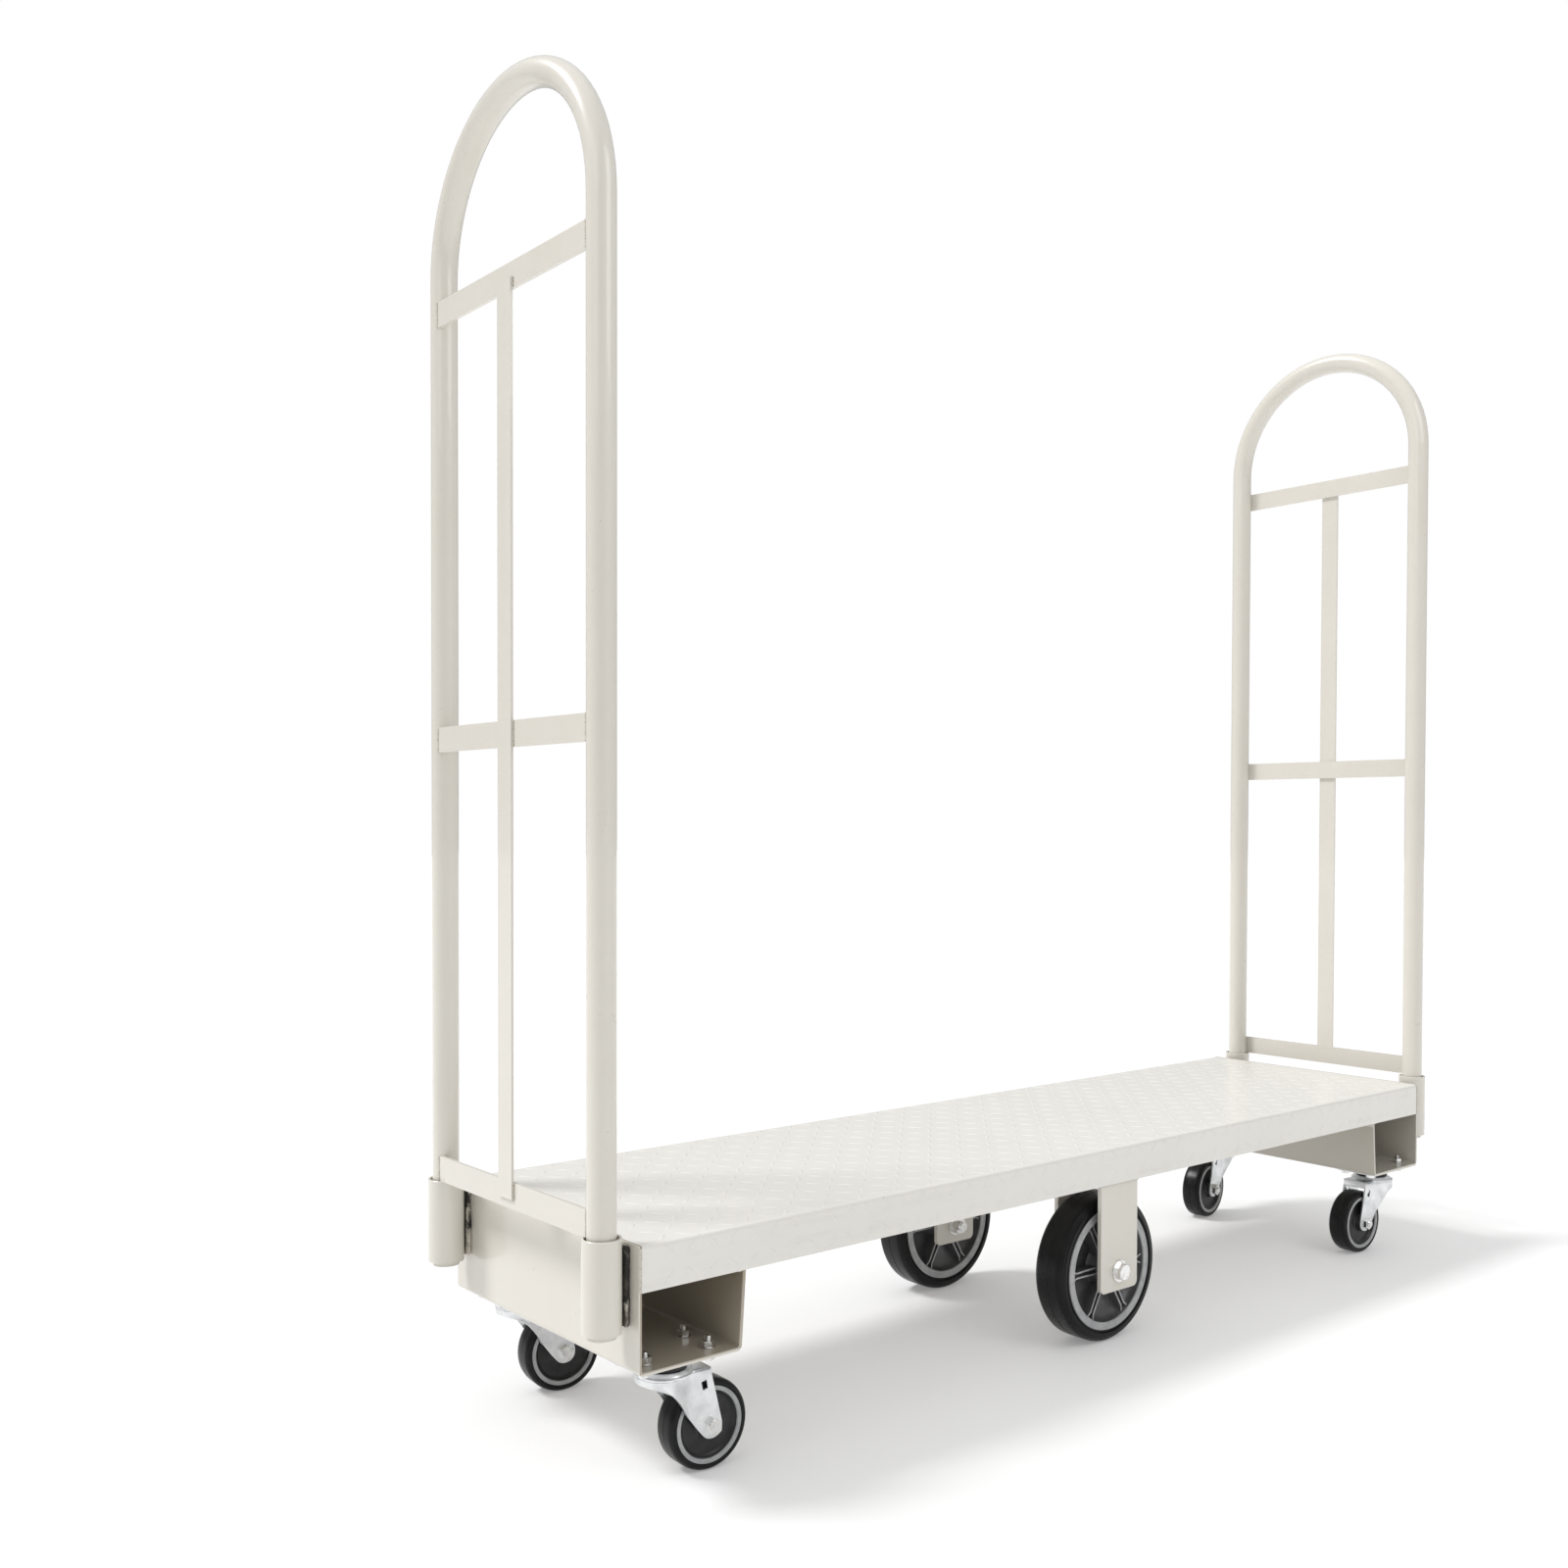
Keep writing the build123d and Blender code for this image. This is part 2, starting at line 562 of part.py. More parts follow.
# ------------------------------------------------------------------ casters, turning half
for end, side in CORNERS:
    x, y = corner_of(end, side)
    angle = math.radians(caster_angles[end, side])
    along = (math.cos(angle), math.sin(angle), 0)
    across = (math.sin(angle), -math.cos(angle), 0)
    # Floor plane of the swivel: local x points along the trail.
    swivel = Plane(origin=(x, y, 0), x_dir=along, z_dir=(0, 0, 1))
    # Upright plane through the swivel and the wheel: local x along the trail, local y up.
    flank = Plane(origin=(x, y, 0), x_dir=along, z_dir=across)
    axle_point = (caster_trail, caster_radius)

    with BuildPart() as fork:
        with BuildSketch(swivel.offset(fork_top - fork_sheet)):
            Circle(fork_crown_radius)
            with Locations((fork_back / 2, 0)):
                Rectangle(fork_back, 2 * fork_half)
        extrude(amount=fork_sheet)
        with BuildSketch(swivel.offset(fork_top - fork_rim_depth)):
            Circle(fork_crown_radius)
            Circle(fork_crown_radius - fork_sheet, mode=Mode.SUBTRACT)
            with Locations((fork_crown_radius, 0)):
                Rectangle(2 * fork_crown_radius, 2 * fork_crown_radius, mode=Mode.SUBTRACT)
        extrude(amount=fork_rim_depth)
        with BuildSketch(swivel.offset(fork_top)):
            Circle(fork_crown_radius - fork_sheet)
        extrude(amount=fork_crown_height, taper=fork_crown_taper)
        for inner_face in (fork_gap / 2, -fork_half):
            with BuildSketch(flank.offset(inner_face)):
                with Locations(((fork_back - fork_front) / 2, fork_top - fork_cheek / 2)):
                    Rectangle(fork_back + fork_front, fork_cheek)
                with Locations(axle_point):
                    Circle(fork_eye)
                make_hull()
                with Locations(axle_point):
                    Circle(caster_axle / 2 + bolt_play, mode=Mode.SUBTRACT)
                with Locations((fork_back - window_inset, fork_top - window_drop)):
                    Rectangle(window_width, window_height, window_lean, mode=Mode.SUBTRACT)
            extrude(amount=fork_sheet)
        with BuildSketch(swivel):
            Circle(kingpin_diameter / 2 + axle_play)
        extrude(amount=channel_floor, mode=Mode.SUBTRACT)
    finish(fork, f"caster_fork_{end}_{side}")

    with BuildPart() as axle:
        with BuildSketch(flank.offset(-fork_half - caster_nut_thick - caster_thread_out)):
            with Locations(axle_point):
                Circle(caster_axle / 2)
        extrude(amount=2 * fork_half + caster_nut_thick + caster_thread_out)
        with BuildSketch(flank.offset(fork_half)):
            with Locations(axle_point):
                RegularPolygon(hexagon_radius(caster_hex), 6)
        extrude(amount=caster_head_thick)
    finish(axle, f"caster_axle_bolt_{end}_{side}")

    with BuildPart() as axle_nut:
        with BuildSketch(flank.offset(-fork_half - caster_nut_thick)):
            with Locations(axle_point):
                RegularPolygon(hexagon_radius(caster_hex), 6)
                Circle(caster_axle / 2, mode=Mode.SUBTRACT)
        extrude(amount=caster_nut_thick)
    finish(axle_nut, f"caster_axle_nut_{end}_{side}")

    hub_centre = flank.from_local_coords(Vector(caster_trail, caster_radius, 0))
    # Local x runs along the axle, local y away from it.
    wheel_section = Plane(origin=hub_centre, x_dir=across, z_dir=along)
    wheel_line = Axis(hub_centre, across)

    with BuildPart() as caster_tyre:
        with BuildSketch(wheel_section):
            with Locations((0, caster_radius - caster_tyre_depth / 2)):
                Rectangle(caster_width, caster_tyre_depth)
            fillet(vertices().group_by(Axis.Y)[-1], caster_edge)
            with Locations((0, caster_radius)):
                Rectangle(caster_groove, 2 * caster_groove, mode=Mode.SUBTRACT)
        revolve(axis=wheel_line)
    finish(caster_tyre, f"caster_tyre_{end}_{side}")

    with BuildPart() as caster_core:
        with BuildSketch(wheel_section):
            with Locations((0, caster_ring_outer - caster_ring_depth / 2)):
                Rectangle(caster_width, caster_ring_depth)
            with Locations((0, caster_ring_inner / 2)):
                Rectangle(caster_disc, caster_ring_inner)
            with Locations((0, caster_hub_radius / 2)):
                Rectangle(fork_gap - 2 * end_play, caster_hub_radius)
            with Locations((0, 0)):
                Rectangle(fork_gap, caster_axle + 2 * axle_play, mode=Mode.SUBTRACT)
        revolve(axis=wheel_line)
    finish(caster_core, f"caster_core_{end}_{side}")
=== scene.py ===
import json
import math
import random

import bpy
from mathutils import Matrix, Vector


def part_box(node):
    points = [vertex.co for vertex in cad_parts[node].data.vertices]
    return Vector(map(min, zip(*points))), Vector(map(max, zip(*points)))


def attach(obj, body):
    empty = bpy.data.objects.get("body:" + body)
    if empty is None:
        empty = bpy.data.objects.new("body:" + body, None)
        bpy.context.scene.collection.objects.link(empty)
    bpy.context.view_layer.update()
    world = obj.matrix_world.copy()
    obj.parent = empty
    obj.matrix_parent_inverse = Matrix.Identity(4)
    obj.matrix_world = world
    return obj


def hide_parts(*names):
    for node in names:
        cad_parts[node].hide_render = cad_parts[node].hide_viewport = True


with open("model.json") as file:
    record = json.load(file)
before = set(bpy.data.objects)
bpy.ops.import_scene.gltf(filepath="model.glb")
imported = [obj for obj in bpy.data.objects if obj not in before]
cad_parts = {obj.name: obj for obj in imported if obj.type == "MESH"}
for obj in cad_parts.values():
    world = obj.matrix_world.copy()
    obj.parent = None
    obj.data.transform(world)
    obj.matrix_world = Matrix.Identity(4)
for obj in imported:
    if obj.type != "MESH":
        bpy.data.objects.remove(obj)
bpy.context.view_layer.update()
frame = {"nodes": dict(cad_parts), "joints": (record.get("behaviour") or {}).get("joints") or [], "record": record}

# ------------------------------------------------------------------ sizes, in metres
ENDS = {"front": -1, "rear": 1}
SIDES = {"left": -1, "right": 1}
CORNERS = [(end, side) for end in ENDS for side in SIDES]

DECK_LOW, DECK_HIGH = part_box("deck")
DECK_TOP = DECK_HIGH.z
DECK_HALF = DECK_HIGH.y
SKIRT_FOOT = DECK_LOW.z
WEB_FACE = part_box("end_channel_rear")[1].x
PLATE_THICK = 0.004
CHANNEL_SHEET = 0.004
PLATE_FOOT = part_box("caster_plate_front_left")[1].z - PLATE_THICK
CHANNEL_FLOOR = PLATE_FOOT + (PLATE_THICK + CHANNEL_SHEET)
CHANNEL_BAY = 0.1415  # outer face of the web to the far side of the channel's inside
SHADE_EDGE = 0.0015  # how far the channel's painted shade reaches into the sheet

JOINTS = {joint["name"]: joint for joint in frame["joints"]}


def wheel_centre(side):
    """Middle of one of the large wheels."""
    return Vector(JOINTS[f"wheel_{side}_spin"]["pos_m"])


def caster_place(end, side):
    """Where a caster's swivel stands and how far it is turned, as a matrix onto the floor."""
    corner = f"caster_{end}_{side}"
    pivot = JOINTS[f"{corner}_swivel"]["pos_m"]
    axle = JOINTS[f"{corner}_spin"]["axis"]
    turn = math.atan2(axle[0], -axle[1])
    return Matrix.Translation((pivot[0], pivot[1], 0)) @ Matrix.Rotation(turn, 4, "Z")


# ------------------------------------------------------------------ modelling helpers
def start_fresh():
    """Object mode with nothing selected."""
    if bpy.context.object and bpy.context.object.mode != "OBJECT":
        bpy.ops.object.mode_set(mode="OBJECT")
    bpy.ops.object.select_all(action="DESELECT")


def select_only(piece):
    """The piece alone selected and active."""
    start_fresh()
    piece.select_set(True)
    bpy.context.view_layer.objects.active = piece


def smooth(piece, degrees=35):
    """Smooth shading with the sharp edges kept."""
    select_only(piece)
    bpy.ops.object.shade_smooth_by_angle(angle=math.radians(degrees))
    return piece


def tidy_mesh(piece):
    """Doubles merged and faces turned outwards."""
    select_only(piece)
    bpy.ops.object.mode_set(mode="EDIT")
    bpy.ops.mesh.select_all(action="SELECT")
    bpy.ops.mesh.remove_doubles(threshold=1e-6)
    bpy.ops.mesh.normals_make_consistent(inside=False)
    bpy.ops.object.mode_set(mode="OBJECT")
    return piece


def turned(name, outline, steps=96):
    """A ring turned on a lathe about Z. The outline is a closed loop of radius and height."""
    start_fresh()
    bpy.ops.mesh.primitive_plane_add(size=0.001)
    piece = bpy.context.object
    piece.name = name
    bpy.ops.object.mode_set(mode="EDIT")
    bpy.ops.mesh.select_all(action="SELECT")
    bpy.ops.mesh.merge(type="CENTER")
    bpy.ops.transform.translate(value=(outline[0][0], 0, outline[0][1]))
    for here, there in zip(outline, outline[1:]):
        step = (there[0] - here[0], 0, there[1] - here[1])
        bpy.ops.mesh.extrude_region_move(TRANSFORM_OT_translate={"value": step})
    bpy.ops.mesh.select_all(action="SELECT")
    bpy.ops.mesh.edge_face_add()
    bpy.ops.mesh.delete(type="ONLY_FACE")
    bpy.ops.mesh.select_all(action="SELECT")
    bpy.ops.mesh.spin(steps=steps, angle=2 * math.pi, center=(0, 0, 0), axis=(0, 0, 1))
    bpy.ops.object.mode_set(mode="OBJECT")
    return smooth(tidy_mesh(piece))


def both_faces(half):
    """A closed outline from its upper half: each radius and height again below the middle."""
    return half + [(radius, -height) for radius, height in reversed(half)]


def copy_of(piece, name):
    """A copy with its own mesh."""
    twin = bpy.data.objects.new(name, piece.data.copy())
    bpy.context.scene.collection.objects.link(twin)
    return twin


def placed(piece, place):
    """The piece moved by a matrix, with its place in its mesh."""
    piece.data.transform(place)
    if place.determinant() < 0:
        piece.data.flip_normals()
    return piece


def joined(name, pieces):
    """Several pieces as one."""
    start_fresh()
    for piece in pieces:
        piece.select_set(True)
    bpy.context.view_layer.objects.active = pieces[0]
    if len(pieces) > 1:
        bpy.ops.object.join()
    pieces[0].name = name
    pieces[0].data.name = name
    return pieces[0]


def repeated(name, piece, places):
    """One piece copied to each place and joined. The pattern itself is used up."""
    copies = [placed(copy_of(piece, f"{name}_{i}"), place) for i, place in enumerate(places)]
    bpy.data.objects.remove(piece)
    return joined(name, copies)


def about(count, axis="Z"):
    """Matrices of evenly spaced turns."""
    return [Matrix.Rotation(i * 2 * math.pi / count, 4, axis) for i in range(count)]


def applied(piece, kind, **settings):
    """The piece with one modifier applied."""
    select_only(piece)
    modifier = piece.modifiers.new(kind.lower(), kind)
    for key, value in settings.items():
        setattr(modifier, key, value)
    bpy.ops.object.modifier_apply(modifier=modifier.name)
    return piece


def block(name, low, high):
    """A rectangular block between two corners."""
    start_fresh()
    low, high = Vector(low), Vector(high)
    bpy.ops.mesh.primitive_cube_add(size=1)
    piece = bpy.context.object
    piece.name = name
    return placed(piece, Matrix.Translation((low + high) / 2) @ Matrix.Diagonal((high - low).to_4d()))


def hexagon(name, across, low, high, chamfer=0.0008):
    """A hexagonal nut or head about Z with its upper corners turned off."""
    start_fresh()
    radius = across / math.sqrt(3)
    bpy.ops.mesh.primitive_cylinder_add(vertices=6, radius=radius, depth=high - low)
    piece = bpy.context.object
    piece.name = name
    placed(piece, Matrix.Translation((0, 0, (low + high) / 2)))
    bpy.ops.object.mode_set(mode="EDIT")
    bpy.ops.mesh.select_all(action="SELECT")
    bpy.ops.mesh.bevel(offset=0.0002, segments=1)
    bpy.ops.object.mode_set(mode="OBJECT")
    crown = turned(name + "_crown", [
        (0, low - 0.01), (across * 2, low - 0.01), (across * 2, high - chamfer - across * 0.86),
        (across * 0.49, high), (0, high),
    ], 48)
    applied(piece, "BOOLEAN", operation="INTERSECT", solver="EXACT", object=crown)
    bpy.data.objects.remove(crown)
    return smooth(piece, 25)


# ------------------------------------------------------------------ finishes
class Signal:
    """An output of a finish's nodes that takes part in sums."""

    def __init__(self, finish, socket):
        self.finish = finish
        self.socket = socket

    def math(self, operation, first, second):
        return self.finish.node("ShaderNodeMath", {"operation": operation}, {0: first, 1: second})

    def __add__(self, other):
        return self.math("ADD", self, other)

    def __radd__(self, other):
        return self.math("ADD", other, self)

    def __sub__(self, other):
        return self.math("SUBTRACT", self, other)

    def __rsub__(self, other):
        return self.math("SUBTRACT", other, self)

    def __mul__(self, other):
        return self.math("MULTIPLY", self, other)

    def __rmul__(self, other):
        return self.math("MULTIPLY", other, self)

    def __gt__(self, other):
        return self.math("GREATER_THAN", self, other)


class Finish:
    """A material made of nodes around one Principled shader."""

    def __init__(self, name, **plain):
        self.material = bpy.data.materials.new(name)
        self.material.use_nodes = True
        self.tree = self.material.node_tree
        self.shader = self.tree.nodes["Principled BSDF"]
        for key, value in plain.items():
            self.shader.inputs[key.replace("_", " ")].default_value = value
        self.place = self.node("ShaderNodeTexCoord", {}, {}, "Object")

    def node(self, kind, settings, inputs, output=0):
        """Adds one node: its settings first, then the values or links of its sockets."""
        made = self.tree.nodes.new(kind)
        for key, value in settings.items():
            if key == "stops":
                elements = made.color_ramp.elements
                while len(elements) < len(value):
                    elements.new(0.5)
                for element, (at, colour) in zip(elements, value):
                    element.position = at
                    element.color = colour
            else:
                setattr(made, key, value)
        for key, value in inputs.items():
            if isinstance(value, Signal):
                self.tree.links.new(value.socket, made.inputs[key])
            else:
                made.inputs[key].default_value = value
        return Signal(self, made.outputs[output])

    def noise(self, scale, detail=3.0, roughness=0.55, stretch=(1, 1, 1)):
        """Noise over the piece, finer with a larger scale, squeezed along each axis."""
        vector = self.place
        if stretch != (1, 1, 1):
            vector = self.node("ShaderNodeVectorMath", {"operation": "MULTIPLY"}, {0: vector, 1: stretch})
        values = {"Vector": vector, "Scale": scale, "Detail": detail, "Roughness": roughness}
        return self.node("ShaderNodeTexNoise", {}, values, "Fac")

    def ramp(self, value, low, high):
        """The value spread from 0 at low to 1 at high, and cut off outside."""
        values = {"Value": value, "From Min": low, "From Max": high}
        return self.node("ShaderNodeMapRange", {"clamp": True}, values)

    def blend(self, factor, first, second):
        """A colour between two others."""
        values = {"Factor": factor, "A": first, "B": second}
        return self.node("ShaderNodeMix", {"data_type": "RGBA"}, mix_sockets(values), 2)

    def feed(self, **sockets):
        """Links signals to the shader."""
        for key, value in sockets.items():
            self.tree.links.new(value.socket, self.shader.inputs[key.replace("_", " ")])

    def bump(self, height, distance, strength=1.0):
        """Relief of the given depth."""
        values = {"Height": height, "Distance": distance, "Strength": strength}
        self.feed(Normal=self.node("ShaderNodeBump", {}, values, "Normal"))


def mix_sockets(values):
    """The colour sockets of a Mix node by number."""
    return {0: values["Factor"], 6: values["A"], 7: values["B"]}


def colour(red, green, blue):
    """A colour with full opacity."""
    return (red, green, blue, 1.0)


IVORY = colour(0.665, 0.636, 0.572)
IVORY_SHADE = colour(0.615, 0.58, 0.51)
GRIME = colour(0.20, 0.165, 0.12)


def ivory_coat(name, hollow=None, hollow_shade=None):
    """Glossy ivory powder coat with orange peel, faint cloudiness and rare dark specks.

    Between the two distances from the middle given as hollow, and above the channel's
    bottom, the coat is darkened towards hollow_shade as painted shade, more so higher up.
    """
    finish = Finish(name, Coat_Weight=0.8, Coat_Roughness=0.07, IOR=1.5)
    cloud = finish.ramp(finish.noise(7.0), 0.35, 0.7)
    streaks = finish.ramp(finish.noise(24.0, 4.0, 0.6, (1, 1, 0.12)), 0.5, 0.75)
    base = finish.blend(cloud * 0.3 + streaks * 0.25, IVORY, IVORY_SHADE)
    specks = finish.ramp(finish.noise(430.0, 1.0), 0.75, 0.77)
    patch = finish.ramp(finish.noise(9.0), 0.56, 0.64)
    base = finish.blend(specks * patch * 0.5, base, GRIME)
    if hollow:
        east = finish.node("ShaderNodeSeparateXYZ", {}, {0: finish.place}, 0)
        height = finish.node("ShaderNodeSeparateXYZ", {}, {0: finish.place}, 2)
        reach = finish.node("ShaderNodeMath", {"operation": "ABSOLUTE"}, {0: east})
        # Painted shade: inside the channel the coat is darkened and browned, more so higher up under the deck.
        inside = (reach > hollow[0]) * (hollow[1] - reach > 0) * (height > CHANNEL_FLOOR - SHADE_EDGE)
        shade_amount = finish.ramp(height, 0.15, 0.24) * 0.25 + 0.6
        base = finish.blend(inside * shade_amount, base, hollow_shade)
    finish.feed(Base_Color=base)
    finish.feed(Roughness=finish.noise(30.0) * 0.12 + 0.24)
    finish.bump(finish.noise(420.0, 2.0), 0.00006)
    return finish.material


def tread_coat(name):
    """The deck's powder coat, scuffed lightly along the truck."""
    finish = Finish(name, Coat_Weight=0.3, Coat_Roughness=0.15, IOR=1.5)
    cloud = finish.ramp(finish.noise(5.0), 0.35, 0.7)
    base = finish.blend(cloud * 0.35, colour(0.76, 0.745, 0.705), colour(0.71, 0.69, 0.645))
    scuffs = finish.ramp(finish.noise(60.0, 4.0, 0.7, (0.12, 1.6, 1)), 0.54, 0.70)
    specks = finish.ramp(finish.noise(300.0, 1.0), 0.76, 0.79)
    worn = finish.blend(scuffs * 0.28, base, colour(0.66, 0.635, 0.58))
    finish.feed(Base_Color=finish.blend(specks * 0.55, worn, GRIME))
    finish.feed(Roughness=scuffs * 0.15 + finish.noise(24.0) * 0.12 + 0.26)
    finish.bump(finish.noise(420.0, 2.0) + scuffs * 0.5, 0.00008)
    return finish.material


def painted_weld(name):
    """Ivory paint over a rough weld, thin and dirty in its hollows."""
    finish = Finish(name, Coat_Weight=0.15, Coat_Roughness=0.3)
    patches = finish.ramp(finish.noise(320.0, 4.0), 0.54, 0.66)
    finish.feed(Base_Color=finish.blend(patches * 0.28, IVORY_SHADE, GRIME))
    finish.feed(Roughness=patches * 0.3 + 0.35)
    finish.bump(finish.noise(700.0, 3.0), 0.0003)
    return finish.material


def seam_weld_and_painted_shade(name, cover):
    """The seam between a sleeve and its plate: a rough weld, its dark colour partly painted shade for the shadowed
    gap behind the sleeve. It turns paler lower down.
    """
    finish = Finish(name)
    height = finish.node("ShaderNodeSeparateXYZ", {}, {0: finish.place}, 2)
    low_down = finish.ramp(0.235 - height, 0.0, 0.06)
    patches = finish.ramp(finish.noise(110.0, 4.0, 0.6, (1, 1, 0.4)) + low_down * 0.3, cover, cover + 0.12)
    streaks = finish.ramp(finish.noise(90.0, 4.0, 0.6, (1, 1, 0.25)), 0.48, 0.62)
    # Near-black weld colour, partly painted shade for the gap behind the sleeve.
    dark = finish.blend(streaks, colour(0.022, 0.020, 0.017), colour(0.085, 0.075, 0.058))
    finish.feed(Base_Color=finish.blend(patches, dark, colour(0.55, 0.51, 0.44)))
    finish.feed(Roughness=0.7 - patches * 0.3)
    finish.bump(finish.noise(500.0, 4.0), 0.0004)
    return finish.material


def bright_zinc(name):
    """Zinc plated pressed steel: cloudy, with faint drawing marks."""
    finish = Finish(name, Metallic=1.0)
    cloud = finish.ramp(finish.noise(55.0, 4.0), 0.35, 0.68)
    grain = finish.noise(240.0, 3.0, 0.6, (1, 1, 0.08))
    finish.feed(Base_Color=finish.blend(cloud, colour(0.84, 0.85, 0.86), colour(0.68, 0.69, 0.70)))
    finish.feed(Roughness=cloud * 0.16 + grain * 0.10 + 0.22)
    finish.bump(finish.noise(130.0, 3.0) + grain * 0.4, 0.00012)
    return finish.material


def plated_fastener(name):
    """Bright plated bolts, nuts and washers."""
    finish = Finish(name, Metallic=1.0)
    stain = finish.ramp(finish.noise(150.0, 3.0), 0.45, 0.75)
    finish.feed(Base_Color=finish.blend(stain, colour(0.80, 0.80, 0.79), colour(0.60, 0.59, 0.57)))
    finish.feed(Roughness=stain * 0.12 + 0.16)
    finish.bump(finish.noise(900.0, 2.0), 0.00005)
    return finish.material


def tread_rubber(name):
    """Black moulded tyre, slightly polished, with a little dust."""
    finish = Finish(name, IOR=1.45, Specular_IOR_Level=0.26)
    dust = finish.ramp(finish.noise(70.0, 5.0, 0.65), 0.55, 0.85)
    finish.feed(Base_Color=finish.blend(dust, colour(0.005, 0.005, 0.0055), colour(0.018, 0.0175, 0.017)))
    finish.feed(Roughness=dust * 0.25 + finish.noise(18.0) * 0.1 + 0.24)
    finish.bump(finish.noise(600.0, 3.0), 0.00008)
    return finish.material


def rim_grey(name):
    """Light grey moulded rim."""
    finish = Finish(name)
    cloud = finish.ramp(finish.noise(90.0, 3.0), 0.35, 0.7)
    finish.feed(Base_Color=finish.blend(cloud, colour(0.42, 0.425, 0.43), colour(0.33, 0.335, 0.34)))
    finish.feed(Roughness=cloud * 0.15 + 0.32)
    finish.bump(finish.noise(800.0, 2.0), 0.00005)
    return finish.material


def core_black(name):
    """Black glossy moulded wheel centre."""
    finish = Finish(name, Specular_IOR_Level=0.4)
    cloud = finish.ramp(finish.noise(60.0, 4.0), 0.35, 0.7)
    finish.feed(Base_Color=finish.blend(cloud, colour(0.008, 0.008, 0.0085), colour(0.022, 0.022, 0.023)))
    finish.feed(Roughness=cloud * 0.15 + 0.27)
    finish.bump(finish.noise(500.0, 3.0), 0.00006)
    return finish.material


def dish_charcoal(name):
    """Dark grey cast wheel centre with a polished look."""
    finish = Finish(name, Metallic=0.5, Coat_Weight=0.2, Coat_Roughness=0.2)
    cloud = finish.ramp(finish.noise(45.0, 4.0), 0.35, 0.7)
    finish.feed(Base_Color=finish.blend(cloud, colour(0.10, 0.10, 0.102), colour(0.14, 0.14, 0.143)))
    finish.feed(Roughness=cloud * 0.14 + 0.30)
    finish.bump(finish.noise(260.0, 2.0), 0.00002)
    return finish.material


def rib_edge_painted_highlight(name):
    """Light grey on the ribs' outer edges: a painted highlight for their bright reflections."""
    finish = Finish(name)
    cloud = finish.ramp(finish.noise(120.0, 3.0), 0.35, 0.7)
    finish.feed(Base_Color=finish.blend(cloud, colour(0.46, 0.46, 0.465), colour(0.32, 0.32, 0.325)))
    finish.feed(Roughness=cloud * 0.15 + 0.3)
    finish.bump(finish.noise(800.0, 2.0), 0.00005)
    return finish.material


def seal_black(name):
    """Dull black rubber of seals."""
    finish = Finish(name)
    dust = finish.ramp(finish.noise(160.0, 4.0), 0.45, 0.75)
    finish.feed(Base_Color=finish.blend(dust, colour(0.012, 0.012, 0.012), colour(0.04, 0.038, 0.036)))
    finish.feed(Roughness=dust * 0.2 + 0.55)
    finish.bump(finish.noise(900.0, 2.0), 0.00006)
    return finish.material


def ground_steel(name):
    """Ground bearing balls and races."""
    finish = Finish(name, Metallic=1.0)
    haze = finish.noise(200.0, 2.0)
    finish.feed(Base_Color=finish.blend(haze, colour(0.62, 0.62, 0.63), colour(0.45, 0.45, 0.46)))
    finish.feed(Roughness=haze * 0.1 + 0.12)
    return finish.material


COAT = ivory_coat("ivory_powder_coat")
# Each end channel's coat carries painted shade inside; the front one is darker.
HOLLOW = (WEB_FACE - CHANNEL_BAY, WEB_FACE - SHADE_EDGE)
FRONT_CHANNEL_PAINTED_SHADE = ivory_coat("front_channel_coat_painted_shade", HOLLOW, colour(0.24, 0.19, 0.115))
REAR_CHANNEL_PAINTED_SHADE = ivory_coat("rear_channel_coat_painted_shade", HOLLOW, colour(0.42, 0.39, 0.33))
TREAD = tread_coat("tread_plate_coat")
WELD = painted_weld("painted_weld")
# Socket seams: dark weld colour, partly painted shade for the gap behind each sleeve.
SEAM_WELD_AND_SHADE = seam_weld_and_painted_shade("socket_seam_weld_and_painted_shade", 0.66)
PALE_SEAM_WELD_AND_SHADE = seam_weld_and_painted_shade("pale_socket_seam_weld_and_painted_shade", 0.50)
ZINC = bright_zinc("bright_zinc")
FASTENER = plated_fastener("plated_fastener")
RUBBER = tread_rubber("tyre_rubber")
RIM = rim_grey("rim_ring_grey")
CORE = core_black("wheel_core_black")
DISH = dish_charcoal("wheel_dish_charcoal")
# Rib edges: painted highlight.
RIB_PAINTED_HIGHLIGHT = rib_edge_painted_highlight("wheel_rib_edge_painted_highlight")
SEAL = seal_black("seal_rubber")
STEEL = ground_steel("ground_bearing_steel")


def dress(piece, *materials):
    """Gives the piece its materials."""
    piece.data.materials.clear()
    for material in materials:
        piece.data.materials.append(material)
    return piece


def fit(piece, body, slot, material, *stands_for):
    """A finished piece: dressed, riding on its body, and standing for its CAD nodes."""
    dress(piece, material)
    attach(piece, body)
    if stands_for:
        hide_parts(*stands_for)
    return piece


# ------------------------------------------------------------------ carried-over CAD nodes
NODE_FINISHES = {
    "deck": TREAD,
    "end_channel_front": FRONT_CHANNEL_PAINTED_SHADE,
    "end_channel_rear": REAR_CHANNEL_PAINTED_SHADE,
    # The packing strips sit in the shadowed gap behind the sleeves; their dark seam finish is partly painted
    # shade.
    "socket_packing_strips": SEAM_WELD_AND_SHADE,
    "wheel_axle_spacers": FASTENER,
    "caster_kingpins": FASTENER,
    "caster_dust_seals": SEAL,
    "caster_swivel_balls": STEEL,
}
SLOT_FINISHES = {
    "powder_coat": COAT,
    "zinc_plate": ZINC,
    "fastener": FASTENER,
    "bearing_steel": STEEL,
    "tyre": RUBBER,
    "wheel_core": CORE,
    "seal": SEAL,
}
